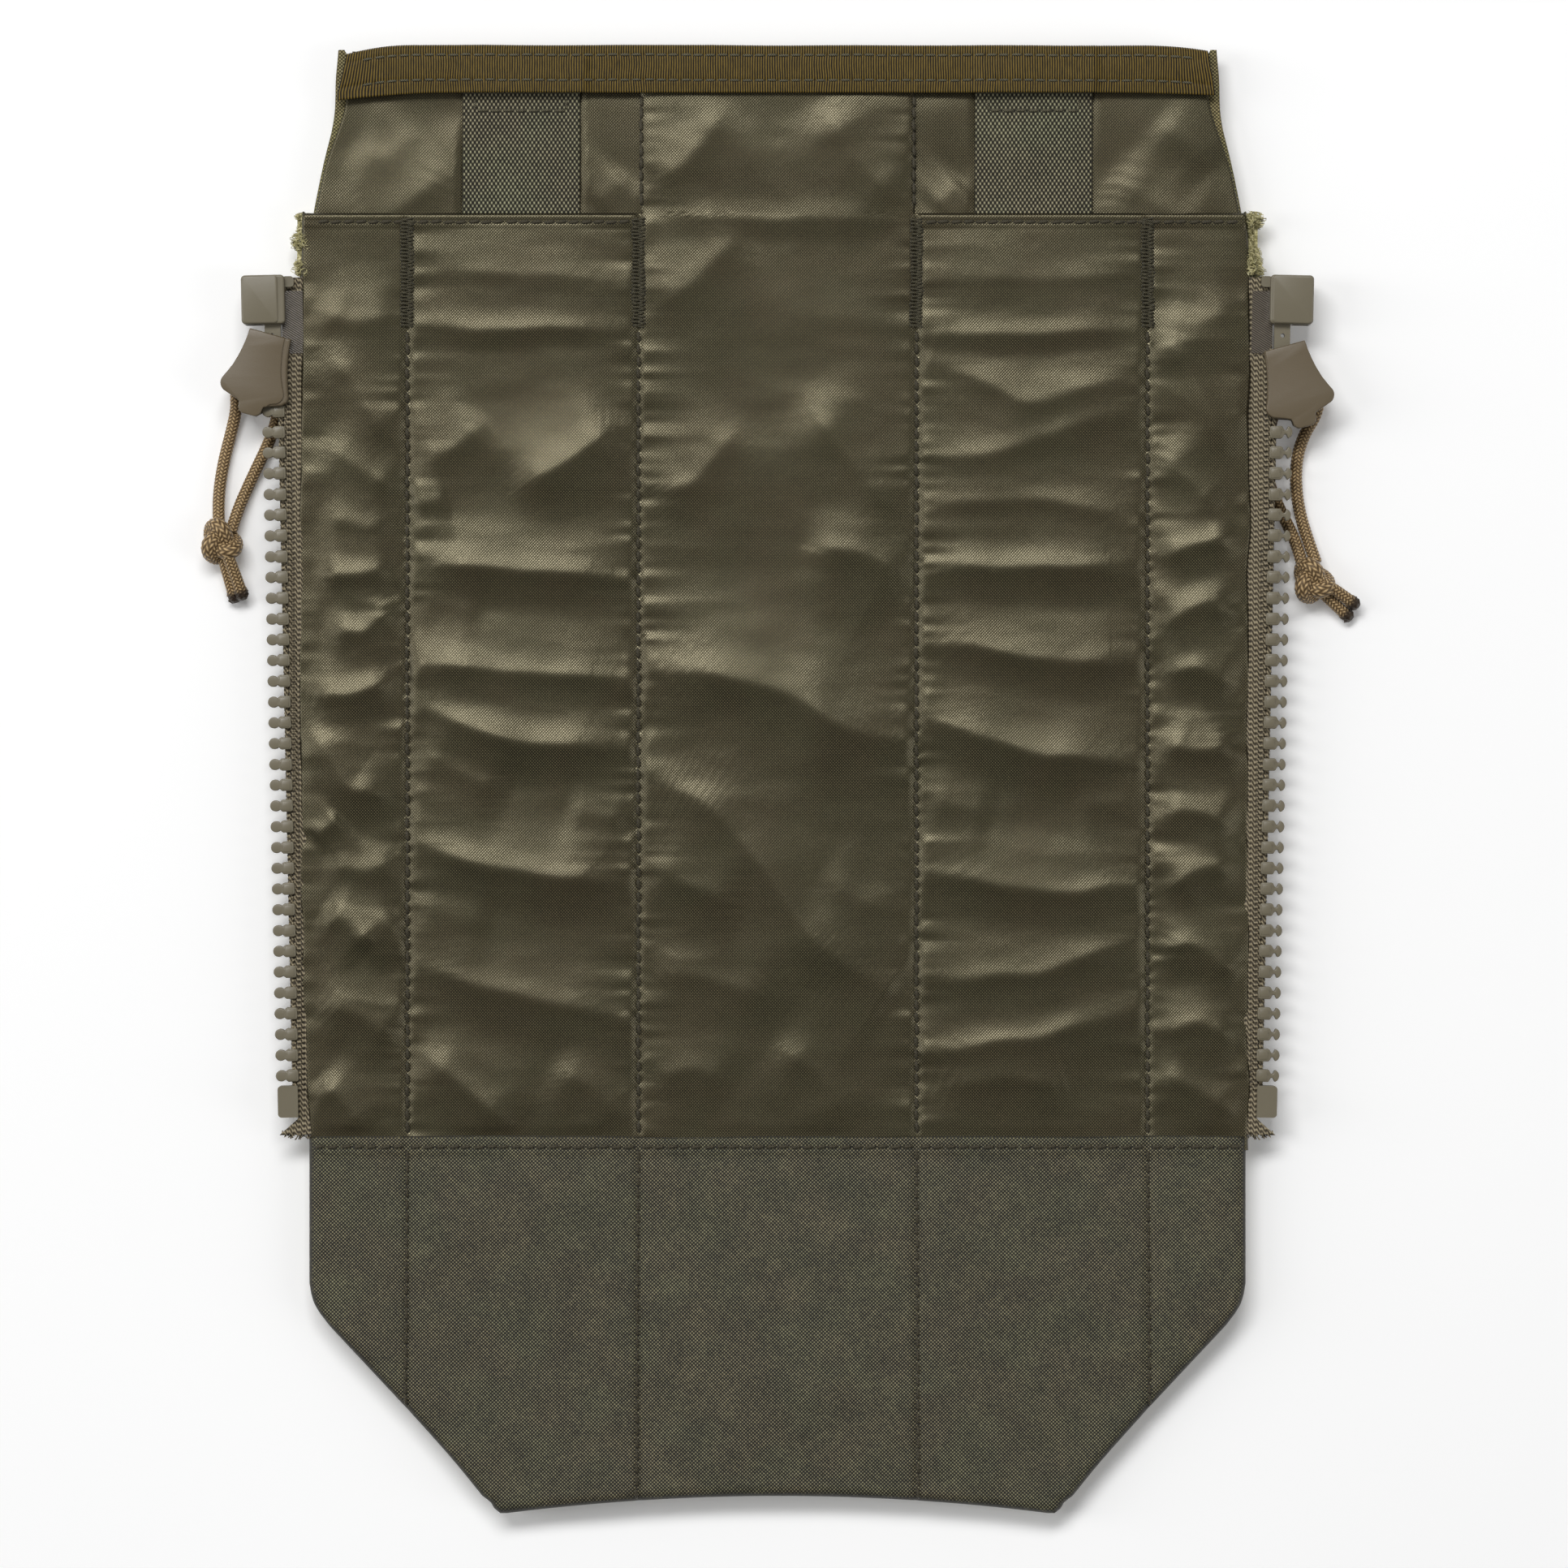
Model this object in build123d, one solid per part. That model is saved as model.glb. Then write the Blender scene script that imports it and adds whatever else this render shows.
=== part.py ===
from build123d import *
import os
from math import atan2, degrees, radians, tan

# Zip-on back panel of a load-carrying vest, lying on its front face.
# +X is the panel's right as its rear face is looked at, +Y points to its top edge,
# +Z is the rear face's outward normal, and z = 0 is the surface it lies on.
# All lengths are in millimetres.

os.makedirs("parts", exist_ok=True)

# ---------------------------------------------------------------- driving dimensions
PANEL_HEIGHT = 315.0
TOP_Y = PANEL_HEIGHT / 2
BINDING_HEIGHT = 10.5
BINDING_WIDTH = 184.6
CLOTH_TOP_Y = TOP_Y - 1.0
HEM_Y = 121.2                 # top edge of the open sleeves
BAND_Y = -76.6                # seam between the rear liner and the lower band
BOTTOM_ARC_Y = -153.8         # the bottom edge rises to this height at its middle
SEAM_X = (29.8, 79.3)         # the vertical sleeve seams, each side of the middle
STRAP_X = 54.9
STRAP_WIDTH = 25.2
STRAP_END_Y = 35.0
LOOP_STRIP_HEIGHT = 25.0
LOOP_STRIP_HALF = 104.6

# right-hand edge of the panel from its top corner to its bottom corner
SIDE_EDGE = [
    (92.6, CLOTH_TOP_Y), (93.9, 145.5), (97.4, 132.0), (99.6, HEM_Y), (101.0, 111.0),
    (100.4, 0.0), (100.4, -110.5), (98.4, -114.8), (78.4, -136.2), (69.1, -146.6),
    (61.2, -156.4), (58.0, -TOP_Y),
]

# heights of the layers, from the surface up
SHELL_TOP = 5.6
LINING_TOP = 6.4
STRAP_TOP = 7.2
LINER_TOP = 8.2
SHELL_EDGE_INSET = 4.5
BINDING_FRONT_Z = 1.6
BINDING_BACK_Z = LINER_TOP + 1.0
PILE_THICKNESS = 1.4
THREAD = 0.4
THREAD_HEIGHT = 0.3

# zipper chain: moulded teeth on a woven tape, leaning inwards towards the bottom
ZIP_Z = 6.8
ZIP_LEAN = 1.2                # degrees
TIP_X, TIP_Y = 110.3, 72.0    # a point on the line of the tooth tips
TOOTH_PITCH = 4.45
TOOTH_COUNT = 35
TOOTH_LENGTH = 4.7
TOOTH_BLOCK = 2.6
TOOTH_HALF_Z = 1.45
FIRST_TOOTH_Y = 15.6          # along the chain, from the point on the tip line
TAPE_HALF_Z = 0.4
TAPE_WIDTH = 10.3
BOX_SIZE = (9.3, 10.5, 6.4)
BOX_BOTTOM_Y = 25.3
STOP_TOP_Y = -137.8
STOP_LENGTH = 6.8
TAPE_END_Y = -148.4

# slider
SLIDER_TILT = 15.5            # degrees its axis stands off the panel's long axis
SLIDER_HALF_Z = 2.75
CHANNEL_HALF_Z = 1.65
CHANNEL_WIDTH = 5.3
SLOT_HALF_Z = 0.7
SLIDER_REST_Y = {"left": 23.2, "right": 20.6}
BAIL_HEIGHT = 3.9
BAIL_THICKNESS = 1.0
BAIL_WIDTH = 2.4

# pull cords
CORD_D = 2.6

NODES = {}


def add(name, shape):
    NODES[name] = shape


# ---------------------------------------------------------------- cloth
def panel_face():
    """Outline of the sewn panel in the XY plane."""
    right = SIDE_EDGE
    left = [(-x, y) for x, y in reversed(SIDE_EDGE)]
    with BuildSketch() as outline:
        with BuildLine():
            Polyline(*right)
            ThreePointArc(right[-1], (0, BOTTOM_ARC_Y), left[0])
            Polyline(*left)
            Line(left[-1], right[0])
        make_face()
    return outline.sketch


def block(x0, x1, y0, y1, z0, z1):
    """Rectangular block between two corners."""
    return Pos((x0 + x1) / 2, (y0 + y1) / 2, (z0 + z1) / 2) * Box(x1 - x0, y1 - y0, z1 - z0)


def panel_slab(z0, z1, y0, y1):
    """Part of the panel's outline between two heights and two levels."""
    slab = extrude(Pos(0, 0, z0) * panel_face(), amount=z1 - z0)
    return slab & block(-150, 150, y0, y1, z0, z1)


def extruded_x(points, x0, x1):
    """Closed (y, z) polygon carried from x0 to x1."""
    face = make_face(Polyline(*[(x0, y, z) for y, z in points], close=True).edges())
    return extrude(face, amount=x1 - x0, dir=(1, 0, 0))


def extruded_y(points, y0, y1):
    """Closed (x, z) polygon carried from y0 to y1."""
    face = make_face(Polyline(*[(x, y0, z) for x, z in points], close=True).edges())
    return extrude(face, amount=y1 - y0, dir=(0, 1, 0))


def make_loop_strip():
    """Loop pile strip across the front face, with its ends out past both side edges."""
    inner = SIDE_EDGE[4][0] - SHELL_EDGE_INSET
    half = [
        (inner, 0.0), (inner + 3.6, 4.5), (inner + 3.6, SHELL_TOP), (inner + 2.0, SHELL_TOP),
        (inner - 1.4, PILE_THICKNESS),
    ]
    across = half + [(-x, z) for x, z in reversed(half)]
    bottom = HEM_Y - LOOP_STRIP_HEIGHT
    ear_bottom = BOX_BOTTOM_Y + BOX_SIZE[1] + TIP_Y + 0.6
    strip = extruded_y(across, bottom, HEM_Y)
    for side in (-1, 1):
        x0, x1 = sorted((side * (inner + 3.6), side * LOOP_STRIP_HALF))
        strip += block(x0, x1, ear_bottom, HEM_Y, SHELL_TOP - 1.1, SHELL_TOP)
    return strip


def make_front_shell(loop_strip):
    """Front cloth: its edges turn up from the surface to the seam round the panel."""
    angle = degrees(atan2(SHELL_EDGE_INSET, SHELL_TOP))
    rim = Pos(0, 0, SHELL_TOP) * panel_face()
    shell = extrude(rim, amount=SHELL_TOP, dir=(0, 0, -1), taper=angle)
    binding_y = TOP_Y - BINDING_HEIGHT
    binding_leg_z = BINDING_FRONT_Z + 1.0
    shell -= extruded_x(
        [(binding_y - 4, -1), (binding_y, binding_leg_z), (TOP_Y + 5, binding_leg_z), (TOP_Y + 5, -1)],
        -120, 120,
    )
    return shell - loop_strip


def make_sleeve_panel():
    """Rear liner: four open sleeves and a middle tongue that runs up into the binding."""
    liner = panel_slab(STRAP_TOP, LINER_TOP, BAND_Y, HEM_Y)
    tongue_half = SEAM_X[0]
    liner += block(-tongue_half, tongue_half, HEM_Y - 1, CLOTH_TOP_Y, STRAP_TOP, LINER_TOP)
    rib = 1.2
    for side in (-1, 1):
        for seam, top in zip(SEAM_X, (CLOTH_TOP_Y, HEM_Y)):
            x0, x1 = sorted((side * seam, side * (seam - rib)))
            liner += block(x0, x1, BAND_Y, top, LINING_TOP, STRAP_TOP)
    return liner


def make_binding():
    """Grosgrain tape folded over the top edge."""
    foot = TOP_Y - BINDING_HEIGHT
    profile = [
        (foot, BINDING_FRONT_Z), (TOP_Y, BINDING_FRONT_Z), (TOP_Y, BINDING_BACK_Z),
        (foot, BINDING_BACK_Z), (foot, LINER_TOP), (CLOTH_TOP_Y, LINER_TOP),
        (CLOTH_TOP_Y, BINDING_FRONT_Z + 1.0), (foot, BINDING_FRONT_Z + 1.0),
    ]
    return extruded_x(profile, -BINDING_WIDTH / 2, BINDING_WIDTH / 2)


def stitch_line(x0, y0, x1, y1, z):
    """A straight row of stitches as one flat thread."""
    half = THREAD / 2
    return block(min(x0, x1) - half, max(x0, x1) + half, min(y0, y1) - half,
                 max(y0, y1) + half, z, z + THREAD_HEIGHT)


def group(solids):
    return Compound(children=[s for s in solids])


def make_cloth():
    strip = make_loop_strip()
    add("front_loop_strip", strip)
    add("front_shell", make_front_shell(strip))
    add("inner_lining", panel_slab(SHELL_TOP, LINING_TOP, BAND_Y, CLOTH_TOP_Y))
    add("sleeve_panel", make_sleeve_panel())
    add("lower_band", panel_slab(SHELL_TOP, LINER_TOP, -TOP_Y - 1, BAND_Y))
    add("top_binding", make_binding())
    for name, side in (("left", -1), ("right", 1)):
        x0 = side * STRAP_X - STRAP_WIDTH / 2
        add(f"strap_{name}", block(x0, x0 + STRAP_WIDTH, STRAP_END_Y, CLOTH_TOP_Y, LINING_TOP, STRAP_TOP))


def make_threads():
    """Every visible row of stitching, and the four bartacks at the sleeve mouths."""
    bartack_top, bartack_bottom = HEM_Y - 1.4, HEM_Y - 24.2
    edge_y = (-154.2, -134.6)
    hem_stitch_y, band_stitch_y = HEM_Y - 1.4 + 0.5, BAND_Y - 2.2
    seams, tacks, hems, band_rows = [], [], [], []
    gap = 1.5
    columns = sorted([s * x for s in (-1, 1) for x in SEAM_X])
    for side in (-1, 1):
        for seam, end_y in zip(SEAM_X, edge_y):
            x = side * seam
            seams.append(stitch_line(x, bartack_bottom - gap, x, band_stitch_y + 1, LINER_TOP))
            seams.append(stitch_line(x, band_stitch_y - 1, x, end_y, LINER_TOP))
            tacks.append(block(x - 1.3, x + 1.3, bartack_bottom, bartack_top, LINER_TOP, LINER_TOP + 0.5))
        hems.append(stitch_line(side * 31.5, hem_stitch_y, side * 98.0, hem_stitch_y, LINER_TOP))
        hems.append(stitch_line(side * 29.2, HEM_Y + 1.5, side * 29.2, TOP_Y - BINDING_HEIGHT - 0.5, LINER_TOP))
    stops = [-100.0] + columns + [100.0]
    for a, b in zip(stops, stops[1:]):
        band_rows.append(stitch_line(a + 0.6, band_stitch_y, b - 0.6, band_stitch_y, LINER_TOP))
    add("sleeve_seams", group(seams))
    add("sleeve_bartacks", group(tacks))
    add("hem_stitching", group(hems))
    add("band_stitching", group(band_rows))
    half = BINDING_WIDTH / 2 - 1.5
    add("binding_stitching", group(
        [stitch_line(-half, TOP_Y - d, half, TOP_Y - d, BINDING_BACK_Z) for d in (2.4, 7.8)]))
    strap_row = TOP_Y - BINDING_HEIGHT - 3.8
    add("strap_stitching", group(
        [stitch_line(s * (STRAP_X - 9.6), strap_row, s * (STRAP_X + 9.6), strap_row, STRAP_TOP)
         for s in (-1, 1)]))


# ---------------------------------------------------------------- zipper
# The zipper is drawn for the right side in the chain's own frame: x = 0 on the tooth tips,
# y up along the chain, z = 0 on the tape. The left side is its mirror image.
CHAIN = Location((TIP_X, TIP_Y, ZIP_Z), (0, 0, -ZIP_LEAN))


def placed(shape, side):
    """Put a right-hand zipper piece in the panel, mirrored for the left side."""
    shape = CHAIN * shape
    return shape if side == "right" else mirror(shape, about=Plane.YZ)


def tooth():
    """One moulded tooth: block round the tape edge, neck and round head."""
    base = block(-TOOTH_LENGTH, -2.75, -TOOTH_BLOCK / 2, TOOTH_BLOCK / 2, -TOOTH_HALF_Z, TOOTH_HALF_Z)
    neck = block(-3.0, -1.0, -0.55, 0.55, -1.1, 1.1)
    head = Pos(-1.25, 0, 0) * Cylinder(1.25, 2.7)
    return base + neck + head


def make_chain(side):
    teeth, cords = [], []
    for i in range(TOOTH_COUNT):
        y = FIRST_TOOTH_Y - i * TOOTH_PITCH
        teeth.append(placed(Pos(0, y, 0) * tooth(), side))
        if i < TOOTH_COUNT - 1:
            link = Rot(90, 0, 0) * Cylinder(0.6, TOOTH_PITCH - TOOTH_BLOCK)
            cords.append(placed(Pos(-4.05, y - TOOTH_PITCH / 2, 0) * link, side))
    add(f"zip_teeth_{side}", group(teeth))
    add(f"tape_edge_cord_{side}", group(cords))


def box_block():
    """Outside of the retainer box, with its ear round the end of the tape."""
    width, height, depth = BOX_SIZE
    body = Pos(-5.5 + width / 2, BOX_BOTTOM_Y + height / 2, 0) * Box(width, height, depth)
    body = fillet(body.edges().filter_by(Axis.Z), 0.9)
    body = fillet(body.edges().group_by(Axis.Z)[-1], 0.45)
    body = fillet(body.edges().group_by(Axis.Z)[0], 0.45)
    top = BOX_BOTTOM_Y + height
    ear = block(-7.4, -5.0, top - 2.6, top - 0.3, -1.7, 1.7)
    ear = fillet(ear.edges().filter_by(Axis.Z), 0.7)
    return body + ear


def pin_block():
    """Fixed pin between the box and the first tooth, with a small moulding hole."""
    pin = block(-4.4, -1.0, 17.2, 31.5, -1.45, 1.45)
    hole = Pos(-2.6, 22.9, 0) * Cylinder(0.45, 10)
    return pin - hole


def make_zip_ends(side):
    outer = box_block()
    pin = pin_block()
    socket = block(-0.5, 2.9, BOX_BOTTOM_Y - 1, BOX_BOTTOM_Y + 8.0, -1.7, 1.7)
    add(f"zip_box_{side}", placed(outer - pin - socket, side))
    add(f"zip_pin_{side}", placed(pin, side))
    stop = block(-TOOTH_LENGTH, -0.4, STOP_TOP_Y - STOP_LENGTH, STOP_TOP_Y, -2.2, 2.2)
    stop = fillet(stop.edges().filter_by(Axis.Z).group_by(Axis.X)[-1], 0.8)
    add(f"zip_stop_{side}", placed(stop, side))
    box_top = BOX_BOTTOM_Y + BOX_SIZE[1]
    tape = block(-TOOTH_LENGTH - TAPE_WIDTH, -TOOTH_LENGTH, TAPE_END_Y, box_top - 0.5,
                 -TAPE_HALF_Z, TAPE_HALF_Z)
    fold_y = STOP_TOP_Y - STOP_LENGTH
    with BuildSketch(Plane.XY.offset(-TAPE_HALF_Z)) as tail:
        with BuildLine():
            Polyline((-6, fold_y), (-TOOTH_LENGTH, fold_y), (-0.4, TAPE_END_Y), (-6, TAPE_END_Y), close=True)
        make_face()
    tape += extrude(tail.sketch, amount=2 * TAPE_HALF_Z)
    add(f"zip_tape_{side}", placed(tape - outer - pin, side))
    films = []
    for z in (TAPE_HALF_Z, -TAPE_HALF_Z - 0.15):
        film = block(-9.2, -TOOTH_LENGTH, 19.0, box_top - 3.4, z, z + 0.15)
        films.append(placed(film - outer, side) - block(-101.1, 101.1, 0, 200, 0, 20))
    add(f"tape_film_{side}", group(films))


def slider_solid():
    """Slider with its narrow end at the origin, its length along -Y and its front at -Z.

    Two plates are joined by the wedge at the wide end. A channel for each half of the
    chain runs past the wedge, and a slot for each tape opens through the side walls.
    """
    flare = [(4.5, 0), (4.85, -3.5), (5.6, -7.0), (6.55, -10.0), (7.35, -12.4)]
    nose = [(7.35, -12.4), (7.2, -13.4), (6.3, -14.3), (3.1, -15.4), (2.5, -15.7), (2.4, -16.9), (1.4, -17.8)]
    with BuildSketch() as outline:
        with BuildLine():
            Spline(*flare)
            Polyline(*nose)
            Line(nose[-1], (-nose[-1][0], nose[-1][1]))
            Polyline(*[(-x, y) for x, y in nose])
            Spline(*[(-x, y) for x, y in flare])
            Line((-flare[0][0], 0), flare[0])
        make_face()
    body = extrude(outline.sketch, amount=SLIDER_HALF_Z, both=True)
    body = fillet(body.edges().group_by(Axis.Z)[-1], 0.5)
    body = fillet(body.edges().group_by(Axis.Z)[0], 0.5)
    turn = Rot(0, 0, -(SLIDER_TILT + ZIP_LEAN))
    channel = Box(CHANNEL_WIDTH, 60, 2 * CHANNEL_HALF_Z)
    slot = Pos(-10 + CHANNEL_WIDTH / 2, 0, 0) * Box(20, 60, 2 * SLOT_HALF_Z)
    inner = turn * (channel + slot)
    body -= inner
    body -= mirror(inner, about=Plane.YZ)
    return body


def bail_solid():
    """Arch on the slider's front plate that the pull cord passes under."""
    top, low = -SLIDER_HALF_Z, -SLIDER_HALF_Z - BAIL_HEIGHT
    outer = [(-3.0, top), (-3.4, low + 1.2), (-4.6, low), (-10.8, low), (-12.0, low + 1.2), (-12.4, top)]
    gap_low = low + BAIL_THICKNESS
    gap = [(-4.8, top + 0.5), (-4.8, gap_low + 0.6), (-5.4, gap_low), (-10.0, gap_low),
           (-10.6, gap_low + 0.6), (-10.6, top + 0.5)]
    arch = extruded_x(outer, -BAIL_WIDTH / 2, BAIL_WIDTH / 2)
    return arch - extruded_x(gap, -5, 5)


def slider_location(side):
    """The slider's narrow end in the chain's frame."""
    return Pos(-TOOTH_LENGTH / 2, SLIDER_REST_Y[side], 0) * Rot(0, 0, SLIDER_TILT + ZIP_LEAN)


def make_sliders():
    body, bail = slider_solid(), bail_solid()
    for side in ("left", "right"):
        place = slider_location(side)
        add(f"slider_body_{side}", placed(place * body, side))
        add(f"slider_bail_{side}", placed(place * bail, side))


# ---------------------------------------------------------------- pull cords
# Each cord passes under its slider's bail and both strands run to one overhand knot.
CORD_ROUTES = {
    "left_outer": [
        (-110.8, 86.7, 2.6), (-113.1, 87.3, 2.6), (-115.5, 86.1, 2.5), (-116.4, 83.3, 2.2),
        (-116.3, 79.4, 1.6), (-117.5, 74.4, 1.3), (-119.0, 68.6, 1.4), (-120.0, 62.6, 1.6),
        (-120.2, 57.4, 2.2), (-119.9, 53.2, 3.2),
    ],
    "left_inner": [
        (-110.8, 86.7, 2.6), (-108.5, 86.1, 2.6), (-107.0, 83.7, 2.5), (-107.3, 80.7, 2.1),
        (-107.7, 77.0, 1.5), (-109.3, 72.4, 1.3), (-111.8, 67.2, 1.4), (-114.3, 61.8, 1.6),
        (-116.2, 57.2, 2.2), (-117.4, 53.0, 3.2),
    ],
    "right_outer": [
        (110.8, 84.1, 2.6), (113.1, 84.7, 2.6), (115.5, 83.5, 2.5), (116.4, 81.0, 2.2),
        (115.6, 77.8, 1.7), (113.3, 74.2, 1.3), (111.7, 69.4, 1.4), (111.4, 63.6, 1.3),
        (112.2, 57.4, 1.4), (113.9, 51.6, 2.0), (115.7, 46.4, 3.2),
    ],
    "right_inner": [
        (110.8, 84.1, 2.6), (108.5, 83.5, 2.6), (107.0, 81.1, 2.5), (106.6, 78.2, 2.1),
        (105.5, 74.2, 1.5), (105.0, 69.2, 1.3), (105.5, 64.0, 1.4), (107.4, 59.2, 1.3),
        (109.7, 54.6, 1.5), (111.6, 50.4, 2.2), (112.7, 46.2, 3.2),
    ],
}
KNOTS = {"left": (-119.6, 50.8, 3.7), "right": (114.9, 42.4, 3.7)}
KNOT_HALF = (4.4, 5.3, 3.6)
KNOT_TURN = {"left": 20.0, "right": 25.0}
CORD_TAILS = {
    "left": [
        [(-119.4, 49.0, 3.4), (-118.3, 44.6, 2.4), (-116.6, 38.6, 1.4)],
        [(-118.3, 49.0, 5.4), (-116.6, 44.4, 4.2), (-114.9, 39.2, 2.8)],
    ],
    "right": [
        [(115.2, 41.8, 3.4), (118.8, 38.4, 2.4), (122.9, 34.8, 1.4)],
        [(116.2, 42.6, 5.0), (119.9, 40.6, 4.2), (124.2, 37.4, 2.6)],
    ],
}


def cord_path(points):
    """Straight runs joined by tangent arcs, each as large as its two runs allow."""
    vectors = [Vector(*p) for p in points]
    radii = []
    for a, b, c in zip(vectors, vectors[1:], vectors[2:]):
        shorter = min((b - a).length, (c - b).length)
        radii.append(0.45 * shorter / tan(radians((b - a).get_angle(c - b) / 2)))
    return FilletPolyline(*vectors, radius=radii), radii


def cord_tube(name, points):
    """Round cord along a route, with its volume compared with section times length."""
    path, radii = cord_path(points)
    tube = sweep(Plane(origin=path @ 0, z_dir=path % 0) * Circle(CORD_D / 2), path=path)
    section = Circle(CORD_D / 2).area
    ratio = tube.volume / (section * path.length)
    print(f"{name}: length {path.length:.1f}, radii {[round(r, 1) for r in radii]}, volume ratio {ratio:.4f}")
    return tube


def make_pull_cords():
    for side in ("left", "right"):
        knot = scale(Sphere(1), by=KNOT_HALF)
        knot = Pos(*KNOTS[side]) * Rot(0, 0, KNOT_TURN[side]) * knot
        add(f"pull_knot_{side}", knot)
        for strand in ("outer", "inner"):
            name = f"{side}_{strand}"
            add(f"pull_cord_{name}", cord_tube(name, CORD_ROUTES[name]) - knot)
        tails = [cord_tube(f"{side}_tail", points) - knot for points in CORD_TAILS[side]]
        add(f"cord_tails_{side}", group(tails))


make_cloth()
make_threads()
for zip_side in ("left", "right"):
    make_chain(zip_side)
    make_zip_ends(zip_side)
make_sliders()
make_pull_cords()

for node, solid in NODES.items():
    export_step(solid, f"parts/{node}.step")
print(len(NODES), "nodes")
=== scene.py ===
"""Visual model of a zip-on back panel, lying on its front face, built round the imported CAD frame."""
import functools
import math

import bpy
import numpy as np
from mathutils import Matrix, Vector


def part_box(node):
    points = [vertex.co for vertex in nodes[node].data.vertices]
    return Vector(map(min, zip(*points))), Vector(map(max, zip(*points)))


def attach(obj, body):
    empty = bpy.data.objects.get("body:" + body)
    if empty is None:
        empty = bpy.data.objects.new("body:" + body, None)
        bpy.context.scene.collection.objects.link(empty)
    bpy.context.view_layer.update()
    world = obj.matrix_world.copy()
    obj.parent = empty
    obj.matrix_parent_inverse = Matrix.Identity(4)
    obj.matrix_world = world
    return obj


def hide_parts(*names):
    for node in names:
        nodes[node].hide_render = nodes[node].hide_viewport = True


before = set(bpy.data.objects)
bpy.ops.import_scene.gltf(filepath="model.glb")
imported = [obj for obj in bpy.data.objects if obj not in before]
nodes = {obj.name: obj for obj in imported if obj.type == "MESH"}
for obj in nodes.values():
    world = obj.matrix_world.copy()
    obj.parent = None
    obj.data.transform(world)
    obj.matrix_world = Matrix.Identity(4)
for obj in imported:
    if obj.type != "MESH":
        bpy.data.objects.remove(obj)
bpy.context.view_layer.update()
MM = 0.001


def box_mm(node):
    """Lowest and highest corner of a CAD node in millimetres."""
    low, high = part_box(node)
    return low / MM, high / MM


# ---- camera, light, floor
VIEW_WIDTH = 336.0 * MM
CAMERA_HEIGHT = 1.6
OBJECT_TOP = 7 * MM
VIEW_CENTRE = (1.4 * MM, -1.1 * MM)
WORLD_STRENGTH = 0.16
FLOOR_HALF, FLOOR_Z = 3, -0.0002

camera = bpy.data.objects.new("camera", bpy.data.cameras.new("camera"))
camera.data.sensor_width = 36
camera.data.lens = 36 * (CAMERA_HEIGHT - OBJECT_TOP) / VIEW_WIDTH
camera.location = (*VIEW_CENTRE, CAMERA_HEIGHT)
bpy.context.scene.collection.objects.link(camera)
bpy.context.scene.camera = camera
bpy.context.scene.view_settings.view_transform = "Standard"

world = bpy.data.worlds.new("studio")
world.use_nodes = True
world.node_tree.nodes["Background"].inputs["Color"].default_value = (1.0, 1.0, 1.0, 1)
world.node_tree.nodes["Background"].inputs["Strength"].default_value = WORLD_STRENGTH
bpy.context.scene.world = world


def area_light(name, place, size, power):
    """Rectangular lamp that faces the middle of the panel."""
    lamp = bpy.data.lights.new(name, "AREA")
    lamp.shape = "RECTANGLE"
    lamp.size, lamp.size_y = size
    lamp.energy = power
    o = bpy.data.objects.new(name, lamp)
    o.location = place
    o.rotation_euler = (-Vector(place)).to_track_quat("-Z", "Y").to_euler()
    bpy.context.scene.collection.objects.link(o)


area_light("key", (-0.42, 1.35, 2.2), (1.9, 0.7), 49)
area_light("left", (-1.9, 0.2, 1.2), (0.7, 1.8), 13)
area_light("right", (1.8, -0.4, 1.1), (0.7, 1.8), 8)


# ---- noise and curves in numpy
def smooth(t):
    t = np.clip(t, 0.0, 1.0)
    return t * t * (3 - 2 * t)


def noise2(x, y, seed):
    """Smooth value noise from -1 to 1."""
    table = np.random.RandomState(seed).rand(128, 128)
    xi, yi = np.floor(x).astype(int), np.floor(y).astype(int)
    fx, fy = smooth(x - xi), smooth(y - yi)

    def at(i, j):
        return table[i % 128, j % 128]

    low = at(xi, yi) * (1 - fx) + at(xi + 1, yi) * fx
    high = at(xi, yi + 1) * (1 - fx) + at(xi + 1, yi + 1) * fx
    return (low * (1 - fy) + high * fy) * 2 - 1


def bell(d, width):
    """1 on a line, falling smoothly to 0 beside it."""
    return np.exp(-((d / width) ** 2))


def blend(a, b, share):
    return a * (1 - share) + b * share


def rough2(x, y, seed, octaves=3):
    """Noise with finer, weaker noise on it."""
    total = 0
    for k in range(octaves):
        total = total + noise2(x * 2**k, y * 2**k, seed + k) / 2**k
    return total


# ---- materials
def rgb(*c):
    """sRGB 0-255 to linear RGBA."""
    return tuple((v / 255 / 12.92 if v < 10 else ((v / 255 + 0.055) / 1.055) ** 2.4) for v in c) + (1.0,)


class Sig:
    """A shader value that arithmetic builds nodes from."""

    def __init__(self, surface, socket):
        self.surface, self.socket = surface, socket

    def op(self, kind, *others):
        node = self.surface.tree.nodes.new("ShaderNodeMath")
        node.operation = kind
        for socket, v in zip(node.inputs, (self, *others)):
            self.surface.feed(socket, v)
        return Sig(self.surface, node.outputs[0])

    def __add__(self, o):
        return self.op("ADD", o)

    def __sub__(self, o):
        return self.op("SUBTRACT", o)

    def __mul__(self, o):
        return self.op("MULTIPLY", o)

    def sin(self):
        return self.op("SINE")

    def abs(self):
        return self.op("ABSOLUTE")

    def max(self, o):
        return self.op("MAXIMUM", o)


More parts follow.
